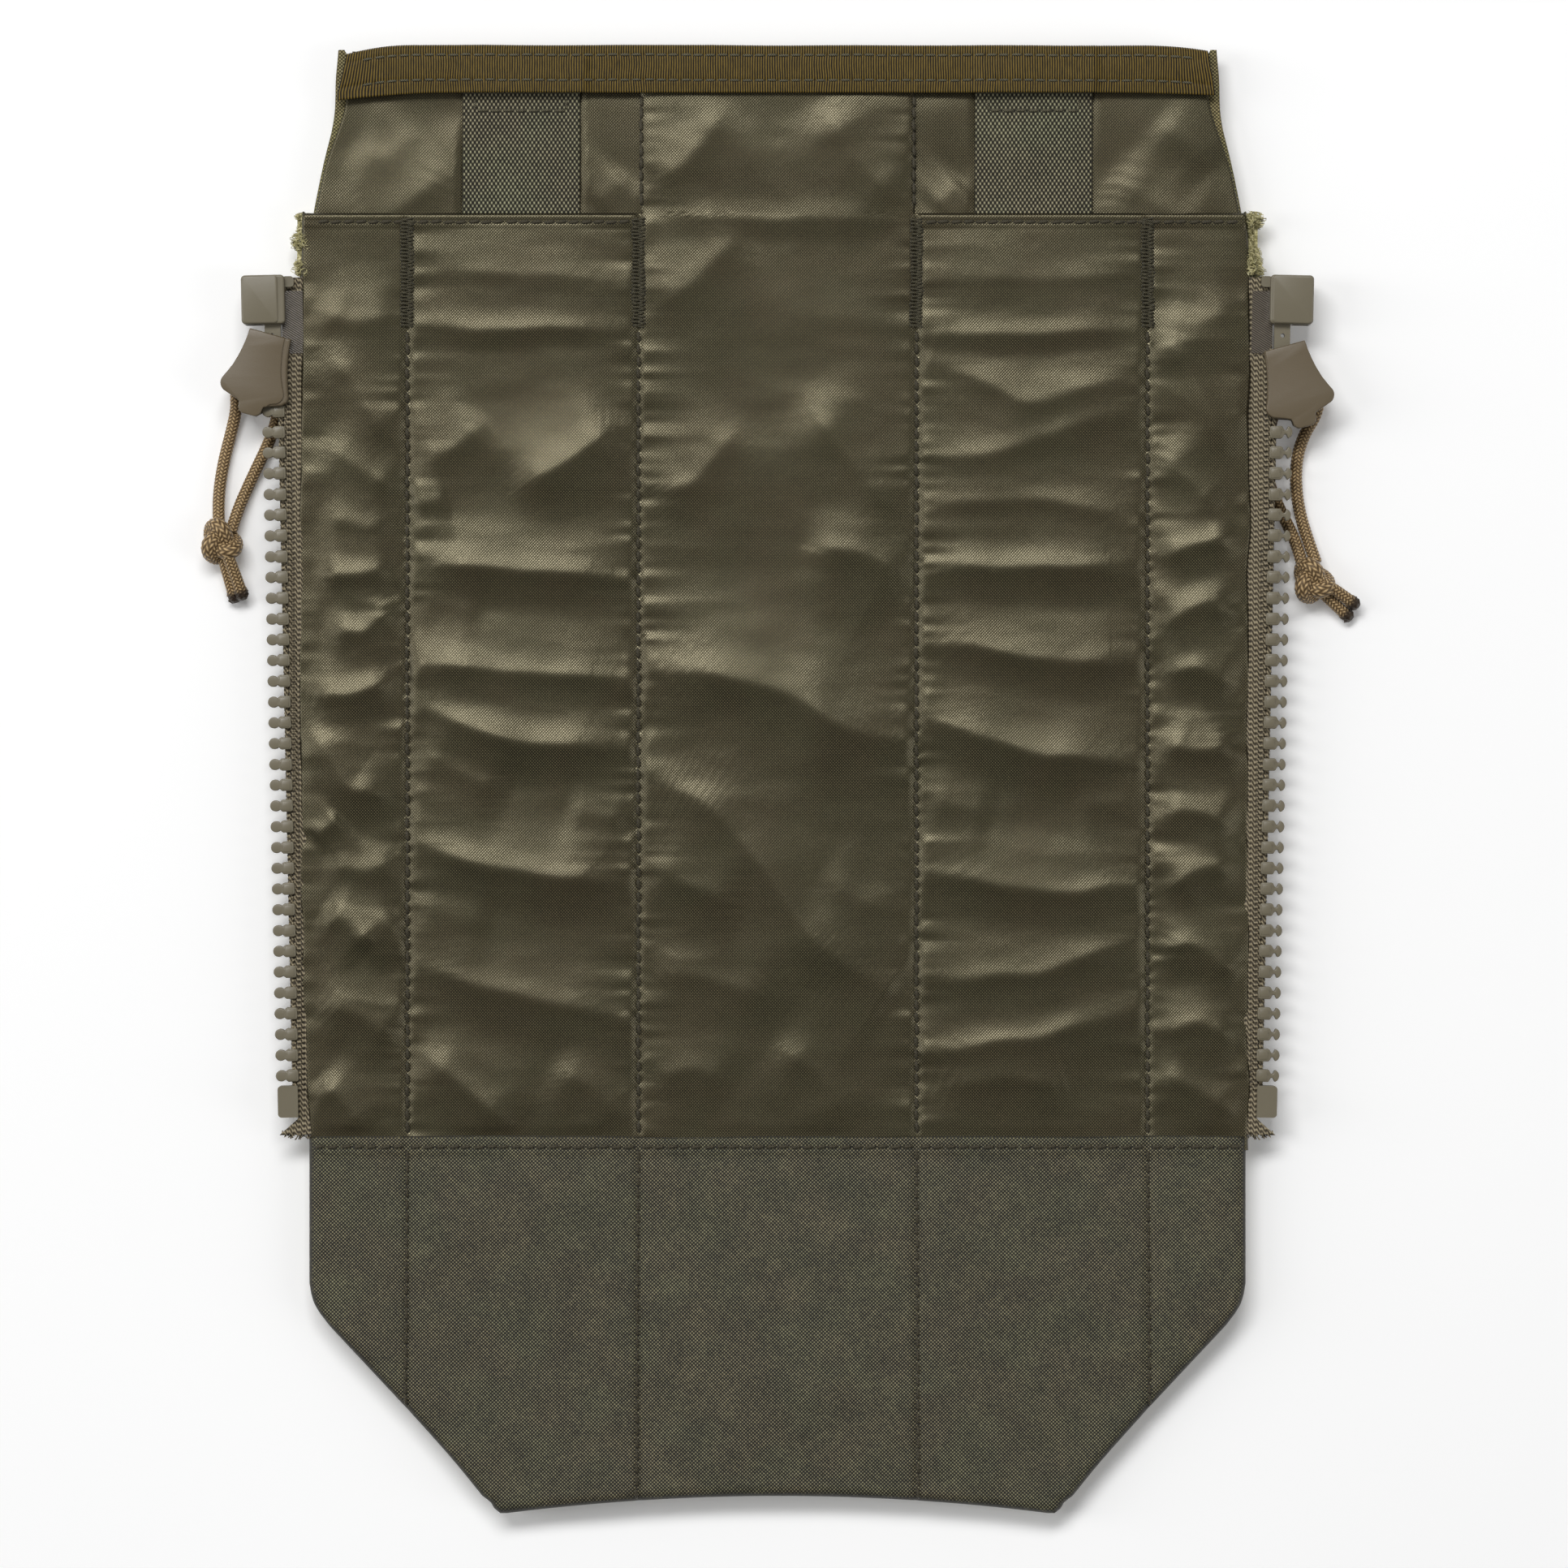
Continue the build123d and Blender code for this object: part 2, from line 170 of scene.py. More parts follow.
class Surface:
    """A principled material whose patterns are drawn in millimetres of the object's own frame."""

    def __init__(self, name, roughness=0.6, specular=0.5, sheen=0.0, tint=None):
        self.material = bpy.data.materials.new(name)
        self.material.use_nodes = True
        self.tree = self.material.node_tree
        self.shader = self.tree.nodes["Principled BSDF"]
        self.set("Roughness", roughness)
        self.set("Specular IOR Level", specular)
        if sheen:
            self.set("Sheen Weight", sheen)
            self.set("Sheen Roughness", 0.4)
        if tint:
            self.set("Specular Tint", tint)
        coords = self.tree.nodes.new("ShaderNodeTexCoord")
        scaled = self.tree.nodes.new("ShaderNodeVectorMath")
        scaled.operation = "SCALE"
        scaled.inputs["Scale"].default_value = 1000
        self.tree.links.new(coords.outputs["Object"], scaled.inputs[0])
        split = self.tree.nodes.new("ShaderNodeSeparateXYZ")
        self.tree.links.new(scaled.outputs[0], split.inputs[0])
        self.where = scaled.outputs[0]
        self.x, self.y, self.z = (Sig(self, o) for o in split.outputs)
        facing_up = self.tree.nodes.new("ShaderNodeSeparateXYZ")
        self.tree.links.new(coords.outputs["Normal"], facing_up.inputs[0])
        self.level = Sig(self, facing_up.outputs["Z"]).abs()

    def feed(self, socket, v):
        if isinstance(v, Sig):
            self.tree.links.new(v.socket, socket)
        else:
            socket.default_value = v

    def set(self, name, v):
        self.feed(self.shader.inputs[name], v)

    def noise(self, size, detail=2.0, stretch=None):
        """Noise from 0 to 1 with blobs of about size millimetres."""
        n = self.tree.nodes.new("ShaderNodeTexNoise")
        n.inputs["Scale"].default_value = 1 / size
        n.inputs["Detail"].default_value = detail
        source = self.where
        if stretch:
            m = self.tree.nodes.new("ShaderNodeVectorMath")
            m.operation = "MULTIPLY"
            m.inputs[1].default_value = stretch
            self.tree.links.new(source, m.inputs[0])
            source = m.outputs[0]
        self.tree.links.new(source, n.inputs["Vector"])
        return Sig(self, n.outputs["Fac"])

    def attribute(self, name):
        n = self.tree.nodes.new("ShaderNodeAttribute")
        n.attribute_name = name
        return Sig(self, n.outputs["Fac"])

    def ramp(self, value, *stops):
        """Colour ramp through (position, rgb) stops."""
        n = self.tree.nodes.new("ShaderNodeValToRGB")
        self.feed(n.inputs["Fac"], value)
        e = n.color_ramp.elements
        while len(e) < len(stops):
            e.new(0.5)
        for element, (place, colour) in zip(e, stops):
            element.position, element.color = place, colour
        return Sig(self, n.outputs["Color"])

    def mix(self, amount, a, b, mode="MIX"):
        n = self.tree.nodes.new("ShaderNodeMix")
        n.data_type, n.blend_type = "RGBA", mode
        self.feed(n.inputs[0], amount)
        self.feed(n.inputs[6], a)
        self.feed(n.inputs[7], b)
        return Sig(self, n.outputs[2])

    def bump(self, height, depth_mm):
        n = self.tree.nodes.new("ShaderNodeBump")
        n.inputs["Distance"].default_value = depth_mm * MM
        self.feed(n.inputs["Height"], height)
        self.tree.links.new(n.outputs["Normal"], self.shader.inputs["Normal"])

    def dots(self, pitch_x, pitch_y, wander=0.05):
        """Staggered yarn crowns of a plain weave, from 0 to 1, faded where the cloth turns down an edge."""
        shift = (self.noise(1.7, 1) - 0.5) * wander * 2
        u = ((self.x + shift) * (2 * math.pi / pitch_x)).sin()
        v = ((self.y + shift) * (2 * math.pi / pitch_y)).sin()
        fade = (self.level * 3.2 - 1.9).max(0).op("MINIMUM", 1)
        return (u * v) * (fade * 0.5) + 0.5


def cloth_surface(name, dark, mid, light, pitch, depth, roughness, specular, mottle, sheen=0.0, tint=None, blotch=9.0,
                  gloss=0.18):
    """Woven cloth: yarn crowns with a painted highlight over dark gaps of painted shade, with uneven yarns and faint
    blotches.
    """
    s = Surface(name, roughness, specular, sheen, tint)
    crown = s.dots(*pitch)
    uneven = (s.noise(pitch[0] * 1.1, 1) - 0.5) * mottle
    blot = (s.noise(blotch, 2) - 0.5) * mottle * 0.6
    # dark stop: painted shade in the gaps between yarns; mid stop: the cloth's own colour; light stop: painted
    # highlight on the yarn crowns
    colour = s.ramp(crown + uneven + blot, (0.12, dark), (0.55, mid), (0.98, light))
    tint_map = s.ramp(s.noise(blotch * 1.6, 2), (0.38, rgb(255, 251, 246)), (0.62, rgb(248, 253, 245)))
    s.set("Base Color", s.mix(1.0, colour, tint_map, "MULTIPLY"))
    s.set("Roughness", (crown * -gloss) + (roughness + 0.52 * gloss))
    s.bump(crown + uneven * 0.5, depth)
    return s.material


# each cloth's three colours: painted shade in the weave's gaps, its own colour, and a painted highlight on the yarn
# crowns
coated = cloth_surface("coated_cloth", rgb(1, 1, 1), rgb(21, 19, 14), rgb(118, 109, 82), (0.62, 0.66), 0.032,
                       0.31, 0.78, 0.14, tint=rgb(255, 243, 204), gloss=0.42)
strap_cloth = cloth_surface("strap_cloth", rgb(18, 17, 11), rgb(62, 59, 46), rgb(168, 163, 134), (0.91, 1.36), 0.14,
                            0.72, 0.3, 0.3, 0.05)
band_cloth = cloth_surface("band_cloth", rgb(12, 11, 7), rgb(46, 43, 32), rgb(154, 147, 114), (0.77, 0.76), 0.12,
                           0.55, 0.4, 0.38, 0.05, blotch=7.0)
shell_cloth = cloth_surface("shell_cloth", rgb(48, 43, 26), rgb(98, 90, 60), rgb(176, 166, 120), (0.8, 0.75), 0.07,
                            0.72, 0.3, 0.4, 0.1, blotch=6.0)


def binding_surface():
    s = Surface("binding_tape", 0.6, 0.2, 0.03)
    # rib height sets painted shade, near black, in the grooves between ribs and a painted highlight on the rib tops,
    # over the tape's own golden brown
    rib = s.attribute("shade") + (s.noise(0.4, 1, (1, 0.2, 1)) - 0.5) * 0.35
    s.set("Base Color", s.ramp(rib, (0.3, rgb(2, 1, 0)), (0.62, rgb(31, 23, 5)), (0.95, rgb(116, 95, 38))))
    s.bump(s.noise(0.18, 1, (1, 0.3, 1)), 0.02)
    return s.material


def thread_surface(name, dark, light, pitch=0.45):
    s = Surface(name, 0.6, 0.4, 0.1)
    # twist stripes whose colour is painted shade between the plies and a painted highlight on them
    twist = ((s.x + s.y) * (2 * math.pi / pitch)).sin() * 0.5 + 0.5
    s.set("Base Color", s.ramp(twist + (s.noise(0.5) - 0.5) * 0.6, (0.0, dark), (1.0, light)))
    s.bump(twist, 0.05)
    return s.material


def tape_surface():
    """Coarse knitted tape: short slanted yarns in columns."""
    s = Surface("zip_tape", 0.66, 0.35, 0.12)
    column = (s.x * (2 * math.pi / 1.12)).sin()
    slant = (s.y * (2 * math.pi / 1.11) + s.x * 4.6 + column * 1.3).sin()
    yarn = (slant * 0.5 + 0.5) * 0.75 + (column.abs() * 0.25) + (s.noise(0.5, 1) - 0.5) * 0.5
    s.set("Base Color", s.ramp(yarn, (0.1, rgb(42, 36, 25)), (0.5, rgb(96, 86, 67)), (0.95, rgb(160, 148, 121))))
    s.bump(yarn, 0.16)
    return s.material


def plastic_surface(name, colour, roughness, vary=0.08):
    s = Surface(name, roughness)
    shade = (s.noise(2.4, 3) - 0.5) * vary * 2 + 0.5
    darker, lighter = ((*(min(1, share * c) for c in colour[:3]), 1) for share in (0.82, 1.2))
    s.set("Base Color", s.ramp(shade, (0.0, darker), (0.5, colour), (1.0, lighter)))
    s.set("Roughness", (s.noise(0.9, 2) - 0.5) * 0.12 + roughness)
    s.bump(s.noise(0.35, 3), 0.012)
    return s.material


def film_surface():
    s = Surface("tape_film", 0.22, 0.6)
    twill = ((s.x * 1.0 + s.y * 1.6) * (2 * math.pi / 0.8)).sin() * 0.5 + 0.5
    s.set("Base Color", s.ramp(twill + (s.noise(1.2) - 0.5) * 0.4, (0.1, rgb(50, 45, 38)), (0.9, rgb(104, 95, 82))))
    s.set("Coat Weight", 0.6)
    s.set("Coat Roughness", 0.15)
    s.bump(twill, 0.03)
    return s.material


def cord_surface():
    s = Surface("cord", 0.45, 0.5, 0.15, rgb(255, 232, 196))
    # the braid's relief in the shade attribute gives painted shade in the hollows between yarns and a painted highlight
    # on their tops; burn is the real dark of the melted ends
    yarn = s.attribute("shade") + (s.noise(0.22, 1) - 0.5) * 0.35
    colour = s.ramp(yarn, (0.05, rgb(64, 49, 32)), (0.45, rgb(128, 104, 73)), (0.95, rgb(206, 178, 132)))
    s.set("Base Color", s.mix(s.attribute("burn"), colour, rgb(36, 27, 24)))
    s.bump(s.noise(0.12, 2), 0.02)
    return s.material


def pile_surface():
    s = Surface("loop_pile", 0.7, 0.3, 0.3)
    s.set("Base Color", s.ramp(s.noise(0.7, 2), (0.3, rgb(112, 106, 62)), (0.5, rgb(186, 178, 128)),
                               (0.7, rgb(240, 232, 188))))
    return s.material


def floor_surface():
    s = Surface("floor", 0.8, 0.2)
    s.set("Base Color", s.ramp(s.noise(300, 1), (0.3, rgb(250, 250, 250)), (0.7, rgb(253, 253, 253))))
    s.set("Emission Color", (1, 1, 1, 1))
    s.set("Emission Strength", 0.1)
    return s.material


binding_tape, film, cord_material, pile = binding_surface(), film_surface(), cord_surface(), pile_surface()
# the dark ends are painted shade between plies; the seam and binding threads are also darkened overall, as painted
# shade round their stitches
thread = thread_surface("thread", rgb(15, 13, 8), rgb(84, 77, 56))
binding_thread = thread_surface("binding_thread", rgb(18, 17, 10), rgb(112, 106, 82))
bartack_thread = thread_surface("bartack_thread", rgb(16, 14, 8), rgb(92, 86, 62))
tape_material = tape_surface()
zip_plastic = plastic_surface("zip_plastic", rgb(114, 107, 89), 0.36)
slider_paint = plastic_surface("slider_paint", rgb(100, 88, 68), 0.4, 0.05)


# ---- pieces from arrays
def piece(name, verts, faces, material, slot, replaces=(), body="panel", shades=None):
    """Mesh object from millimetre vertices, riding on a body and standing for CAD nodes."""
    mesh = bpy.data.meshes.new(name)
    mesh.from_pydata(np.asarray(verts, float) * MM, [], [tuple(int(i) for i in f) for f in faces])
    mesh.materials.append(material)
    mesh.polygons.foreach_set("use_smooth", [True] * len(mesh.polygons))
    for key, values in (shades or {}).items():
        mesh.attributes.new(key, "FLOAT", "POINT").data.foreach_set("value", np.asarray(values, np.float32))
    mesh.update()
    o = bpy.data.objects.new(name, mesh)
    bpy.context.scene.collection.objects.link(o)
    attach(o, body)
    if replaces:
        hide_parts(*replaces)
    return o


def quads(rows, cols, wrap=False, ring=False):
    """Quad indices of a grid of points, closed in its second direction if wrap and in its first if ring."""
    i = np.arange(rows * cols).reshape(rows, cols)
    if ring:
        i = np.vstack([i, i[:1]])
    if wrap:
        i = np.hstack([i, i[:, :1]])
    return np.stack([i[:-1, :-1], i[:-1, 1:], i[1:, 1:], i[1:, :-1]], -1)


def thicken(o, thickness):
    """Gives cloth its thickness in millimetres, downwards."""
    m = o.modifiers.new("thickness", "SOLIDIFY")
    m.thickness, m.offset = thickness * MM, -1


def sheet_piece(name, x, y, z, material, thickness, keep=None, **facts):
    """Cloth from a grid of points, given its thickness downwards."""
    faces = quads(*x.shape)
    if keep is not None:
        faces = faces[keep]
    faces = faces.reshape(-1, 4)
    used, faces = np.unique(faces, return_inverse=True)
    points = np.stack([x, y, z], -1).reshape(-1, 3)[used]
    shades = {k: v.reshape(-1)[used] for k, v in facts.pop("shades", {}).items()}
    o = piece(name, points, faces.reshape(-1, 4), material, shades=shades, **facts)
    thicken(o, thickness)
    return o


class Soup:
    """Collects closed shells into one mesh, with a value for each point under each key."""

    def __init__(self, *keys):
        self.verts, self.faces, self.count = [], [], 0
        self.shades = {key: [] for key in keys}

    def add(self, verts, faces, *values):
        self.verts.append(np.asarray(verts, float))
        self.faces += [tuple(i + self.count for i in f) for f in faces]
        for column, value in zip(self.shades.values(), values):
            column.append(value)
        self.count += len(verts)

    def piece(self, name, material, **facts):
        shades = {key: np.concatenate(column) for key, column in self.shades.items()}
        return piece(name, np.vstack(self.verts), self.faces, material, shades=shades, **facts)


def tube(points, radii, sides):
    """Closed tube through points, with one radius or one for each of them."""
    p = np.asarray(points, float)
    t = np.gradient(p, axis=0)
    t /= np.linalg.norm(t, axis=1)[:, None]
    a = np.cross((0, 0, 1.0), t)
    a /= np.maximum(np.linalg.norm(a, axis=1)[:, None], 1e-9)
    b = np.cross(t, a)
    angles = np.arange(sides) / sides * 2 * math.pi
    radii = np.broadcast_to(np.asarray(radii, float), (len(p),))
    ring = np.cos(angles)[None, :, None] * a[:, None] + np.sin(angles)[None, :, None] * b[:, None]
    verts = (p[:, None] + ring * radii[:, None, None]).reshape(-1, 3)
    faces = [tuple(f) for f in quads(len(p), sides, True)[..., ::-1].reshape(-1, 4)]
    faces += [tuple(range(sides)), tuple(range(len(verts) - 1, len(verts) - sides - 1, -1))]
    return verts, faces


# ---- outline of the panel
PANEL_HALF = 100.4
SIDE_EDGE = np.array([
    (92.6, 156.5), (93.9, 145.5), (97.4, 132.0), (99.6, 121.2), (101.0, 111.0), (PANEL_HALF, 0.0),
    (PANEL_HALF, -110.5), (98.4, -114.8), (78.4, -136.2), (69.1, -146.6), (61.2, -156.4), (58.0, -157.5)])
SIDES = {"left": -1, "right": 1}
# the middle column of the liner ends at the first seams, the inner columns at the second
SEAMS = (29.8, 79.3)
COLUMN_EDGES = (-120.0, -SEAMS[1], -SEAMS[0], SEAMS[0], SEAMS[1], 120.0)
LINING_EDGES = (-120.0, -SEAMS[0], SEAMS[0], 120.0)
STRAP_X, STRAP_HALF = 54.9, 12.6
TOP_Y, HEM_Y = box_mm("top_binding")[1].y, box_mm("front_loop_strip")[1].y
BAND_Y, BOTTOM_Y = box_mm("sleeve_panel")[0].y, box_mm("lower_band")[0].y
FOOT_Y = box_mm("top_binding")[0].y
CLOTH_TOP = TOP_Y - 1.6
HEM_ROW, BAND_ROW = HEM_Y - 1.9, BAND_Y - 2.2
# levels of the cloths' upper faces
HIDDEN_Z, LINING_Z, STRAP_Z, LINER_Z, BAND_Z, TAPE_Z = 6.3, 6.62, 7.15, 7.05, 7.95, 8.85


def side(y):
    """Half width of the panel at height y, with its corners eased."""
    y = np.asarray(y, float)
    reach = 2.5
    return sum(np.interp(-(y + d), -SIDE_EDGE[:, 1], SIDE_EDGE[:, 0]) for d in (-reach, 0, reach)) / 3


def bottom(x):
    """Height of the bottom edge: a shallow arc between its two corners."""
    return BOTTOM_Y + 3.7 * (1 - np.clip(np.abs(x) / 58, 0, 1) ** 2)


def liner_side(y, sign):
    """Half width of the rear liner, which bags a little past the panel's edge over the zipper tape."""
    heights = [-80, -70, -40, 0, 40, 90, 110, 122]
    left = [100.4, 101.0, 102.0, 102.6, 102.9, 102.4, 102.2, 101.8]
    right = [101.2, 101.2, 101.1, 101.0, 101.2, 101.4, 101.3, 100.7]
    bag = np.where(np.asarray(sign) < 0, np.interp(y, heights, left), np.interp(y, heights, right))
    return bag + 0.45 * noise2(np.asarray(y) / 11, np.asarray(sign) * 3.0 + 9, 51)


def rolled(d, radius):
    """How far a folded edge drops at distance d inside it."""
    inside = np.clip(radius - d, 0, radius)
    return radius - np.sqrt(radius**2 - inside**2)


def lines(stops, step, rim=()):
    """Grid lines through all the stops, about a step apart, with extra ones near both ends."""
    out = [stops[0]]
    for a, b in zip(stops, stops[1:]):
        n = max(1, round(abs(b - a) / step))
        out += list(np.linspace(a, b, n + 1)[1:])
    sign = 1 if stops[-1] > stops[0] else -1
    out += [stops[0] + sign * r for r in rim] + [stops[-1] - sign * r for r in rim]
    return np.array(sorted(set(np.round(out, 4)), key=lambda v: sign * v))


# ---- folds of the coated liner
# Crest lines of the folds, west to east in millimetres, each with its height and its width
# on the north and south side.
FOLDS = [
    # left outer column
    ([(-100, 101), (-92, 97), (-80, 99)], 0.35, 4.0, 3.0),
    ([(-99, 92), (-92, 86), (-86, 76), (-80, 69)], 0.55, 4.0, 2.6),
    ([(-99, 72), (-90, 66), (-80, 60)], 0.45, 4.0, 2.6),
    ([(-99, 57), (-88, 53), (-80, 55)], 0.4, 3.2, 2.0),
    ([(-100, 44.4), (-90, 43.6), (-80, 45.1)], 0.75, 3.4, 1.8),
    ([(-98, 33), (-89, 31.7), (-80, 38)], 0.7, 3.4, 2.2),
    ([(-102, 18), (-93, 17.5), (-80, 22.3)], 0.75, 3.6, 2.0),
    ([(-101, 13.8), (-97, 5), (-92, -3), (-80, -3.6)], 0.8, 4.4, 2.2),
    ([(-100, -13.6), (-93, -8)], 0.6, 2.8, 2.2),
    ([(-98, -18), (-88, -21), (-80, -17)], 0.45, 3.2, 2.4),
    ([(-98, -28), (-93, -31), (-87, -37.8)], 0.7, 3.2, 2.0),
    ([(-90, -37), (-80, -30.5)], 0.5, 3.0, 2.0),
    ([(-100, -48.8), (-90, -50), (-80, -57.5)], 0.6, 3.6, 2.4),
    ([(-99, -64), (-94, -68), (-88, -76)], 0.55, 3.2, 2.2),
    # left inner column
    ([(-79, 110.5), (-55, 108), (-31, 106)], 0.35, 5.0, 2.6),
    ([(-79, 97), (-55, 96), (-31, 95.6)], 0.4, 3.4, 1.2),
    ([(-79, 66), (-70, 70), (-61, 78)], 0.55, 4.6, 3.6),
    ([(-59, 60), (-45, 67), (-31, 77)], 0.75, 5.0, 4.0),
    ([(-79, 58), (-70, 60)], 0.4, 3.0, 2.6),
    ([(-79, 46.5), (-55, 44), (-31, 42.6)], 0.85, 4.6, 2.2),
    ([(-79, 38), (-62, 35)], 0.25, 3.4, 3.0),
    ([(-79, 24), (-60, 22.6), (-31, 21.4)], 0.85, 4.8, 2.2),
    ([(-79, 16.8), (-70, 12), (-55, 7.5), (-31, 6.3)], 0.95, 5.0, 2.2),
    ([(-79, 7.5), (-70, 2), (-56, -3)], 0.45, 4.2, 3.4),
    ([(-46, -6), (-31, -9.8)], 0.28, 4.0, 3.4),
    ([(-79, -13), (-64, -19.2), (-31, -22.3)], 0.95, 5.2, 2.4),
    ([(-79, -27.9), (-60, -31)], 0.3, 3.8, 3.2),
    ([(-79, -40), (-55, -47), (-31, -52)], 0.6, 4.6, 2.6),
    ([(-79, -57.5), (-69, -64.4), (-55, -76.6)], 0.7, 4.0, 2.4),
    ([(-50, -62), (-40, -66), (-31, -74.9)], 0.4, 4.4, 3.4),
    # middle column
    ([(-29, 124), (-20, 131), (-9, 146)], 0.5, 6.0, 5.0),
    ([(8, 146), (17, 132), (29, 122)], 0.5, 6.0, 5.0),
    ([(-29, 119.8), (0, 119.2), (29, 119.8)], 0.18, 1.6, 1.2),
    ([(-29, 98), (-18, 106), (-6, 118)], 0.45, 6.0, 5.0),
    ([(-29, 58), (-18, 63), (-6, 78)], 0.5, 4.4, 4.8),
    ([(4, 84), (14, 70), (22, 60), (30, 55)], 0.6, 4.6, 5.0),
    ([(4, 49), (17, 48.5), (24, 46), (30, 42)], 0.6, 3.4, 5.4),
    ([(-30, 24), (-12, 22), (3, 18), (12, 11.5), (30, 7)], 1.1, 7.2, 5.6),
    ([(-30, 1), (-14, -7), (-2, -20), (9, -36), (23, -45)], 1.1, 6.0, 5.6),
    ([(8, -20), (19, -26), (30, -24)], 0.25, 4.6, 4.0),
    ([(-30, -18), (-18, -24), (-6, -27)], 0.45, 4.4, 3.2),
    ([(-30, -40), (-12, -44), (2, -47)], 0.35, 4.6, 3.4),
    ([(-2, -56), (10, -64), (16, -76)], 0.45, 4.6, 3.4),
    ([(-30, -66), (-18, -62), (-8, -66)], 0.3, 4.0, 3.0),
    # right inner column
    ([(31, 108.6), (55, 107), (79, 109.5)], 0.35, 5.0, 2.6),
    ([(31, 96.2), (55, 95.6), (79, 96.4)], 0.4, 3.4, 1.2),
    ([(33, 90), (46, 85), (54, 80), (62, 82), (79, 88)], 0.45, 4.4, 3.0),
    ([(31, 68), (48, 70), (66, 76), (79, 80)], 0.5, 5.0, 3.4),
    ([(31, 58.2), (55, 59.5), (79, 55.6)], 0.5, 4.2, 2.6),
    ([(31, 44.3), (55, 44.8), (79, 46)], 0.8, 4.6, 2.2),
    ([(31, 29.5), (55, 25.1), (79, 25.1)], 0.8, 4.8, 2.2),
    ([(31, 13.8), (43, 9), (57, 5.1), (79, 3.4)], 0.85, 5.0, 2.2),
    ([(31, -4), (47, -7)], 0.28, 4.0, 3.4),
    ([(63, -6), (79, -4.4)], 0.28, 4.0, 3.4),
    ([(31, -20), (57, -24.4), (79, -22.7)], 0.8, 5.0, 2.4),
    ([(31, -43.6), (56, -41.8), (79, -33.1)], 0.75, 4.8, 2.6),
    ([(31, -59.2), (56, -55.7), (79, -48.8)], 0.7, 4.6, 2.4),
    ([(31, -67), (51, -64.4), (66, -66)], 0.45, 3.4, 2.2),
    # right outer column
    ([(80, 99), (90, 97), (100, 101)], 0.35, 4.0, 3.0),
    ([(80, 98), (86, 90), (92, 79), (99, 66)], 0.6, 4.6, 3.4),
    ([(80, 70), (87, 65), (96, 57)], 0.45, 3.8, 2.6),
    ([(80, 46.5), (90, 50), (100, 54)], 0.75, 4.2, 2.0),
    ([(80, 32), (88, 36), (93, 38), (100, 36)], 0.7, 3.8, 2.2),
    ([(81, 22.5), (90, 24), (100, 20)], 0.7, 3.4, 2.0),
    ([(80, 9.5), (88, 5), (93, 5.5), (100, 10.3)], 0.7, 3.4, 2.2),
    ([(80, -7), (90, -8), (100, -10.5)], 0.7, 3.2, 2.0),
    ([(81, -24.4), (90, -20), (100, -17.5)], 0.65, 3.2, 2.0),
    ([(80, -37), (88, -35), (94, -38), (100, -44)], 0.6, 3.2, 2.0),
    ([(80, -55), (90, -52), (100, -56)], 0.55, 3.2, 2.0),
    ([(80, -61), (90, -66), (100, -72)], 0.55, 3.4, 2.2),
]


# half width of a crest's rounded top, spread of its two slopes, and how far its ends run out
EASE, NORTH_SPREAD, SOUTH_SPREAD, RUN_OUT = 1.1, 1.3, 1.6, 2.5


def crest_line(points, count=45):
    """Rounded line through a fold's points, its heading, how far along it each point is, and its length."""
    knots = np.array(points, float)
    run = np.concatenate([[0], np.cumsum(np.linalg.norm(np.diff(knots, axis=0), axis=1))])
    t = np.linspace(0, 1, count)
    line = np.column_stack([np.interp(t * run[-1], run, knots[:, i]) for i in (0, 1)])
    for _ in range(12):
        line[1:-1] = (line[:-2] + 2 * line[1:-1] + line[2:]) / 4
    heading = np.gradient(line, axis=0)
    return line, heading / np.linalg.norm(heading, axis=1)[:, None], t, run[-1]


def raise_folds(folds, x, y, edges=COLUMN_EDGES):
    """Sum of folds: a broad slope up to each crest from the north, a shorter one down to the south."""
    z = np.zeros_like(x)
    for (line, heading, t, length), height, north, south in folds:
        widest = 4.2 * max(north, south) + 2
        near = (x > line[0, 0] - widest) & (x < line[-1, 0] + widest) & (y > line[:, 1].min() - widest)
        near &= y < line[:, 1].max() + widest
        if not near.any():
            continue
        xs, ys = x[near], y[near]
        ys = ys + 0.5 * noise2(xs / 8, ys / 24, 7) + 0.6 * noise2(xs / 23, ys / 30, 9)
        k = np.argmin((xs[:, None] - line[:, 0]) ** 2 + (ys[:, None] - line[:, 1]) ** 2, axis=1)
        dx, dy = xs - line[k, 0], ys - line[k, 1]
        d = heading[k, 0] * dy - heading[k, 1] * dx
        past = np.where((k == 0) | (k == len(t) - 1), np.abs(heading[k, 0] * dx + heading[k, 1] * dy), 0)
        middle = line[len(t) // 2, 0]
        west = max(c for c in edges if c < middle)
        east = min(c for c in edges if c > middle)
        past = past + RUN_OUT * np.maximum(0, np.maximum(west - xs, xs - east))
        width = np.where(d > 0, NORTH_SPREAD * north, SOUTH_SPREAD * south)
        lift = np.exp(-(np.sqrt(d**2 + EASE**2) - EASE) / width) * smooth((3.0 - np.abs(d) / width) / 1.8)
        lift = lift * (1 + 0.2 * noise2(xs / 10, ys / 13, 11))
        ends = smooth(t / 0.3) * smooth((1 - t) / 0.3)
        if length > 40:
            ends = 0.5 + 0.5 * ends
        z[near] += height * lift * ends[k] * bell(past, RUN_OUT)
    return z


LINER_FOLDS = [(crest_line(points), *sizes) for points, *sizes in FOLDS]


def off_seams(x):
    """Distance from the nearest sleeve seam."""
    return np.minimum(np.abs(np.abs(x) - SEAMS[0]), np.abs(np.abs(x) - SEAMS[1]))


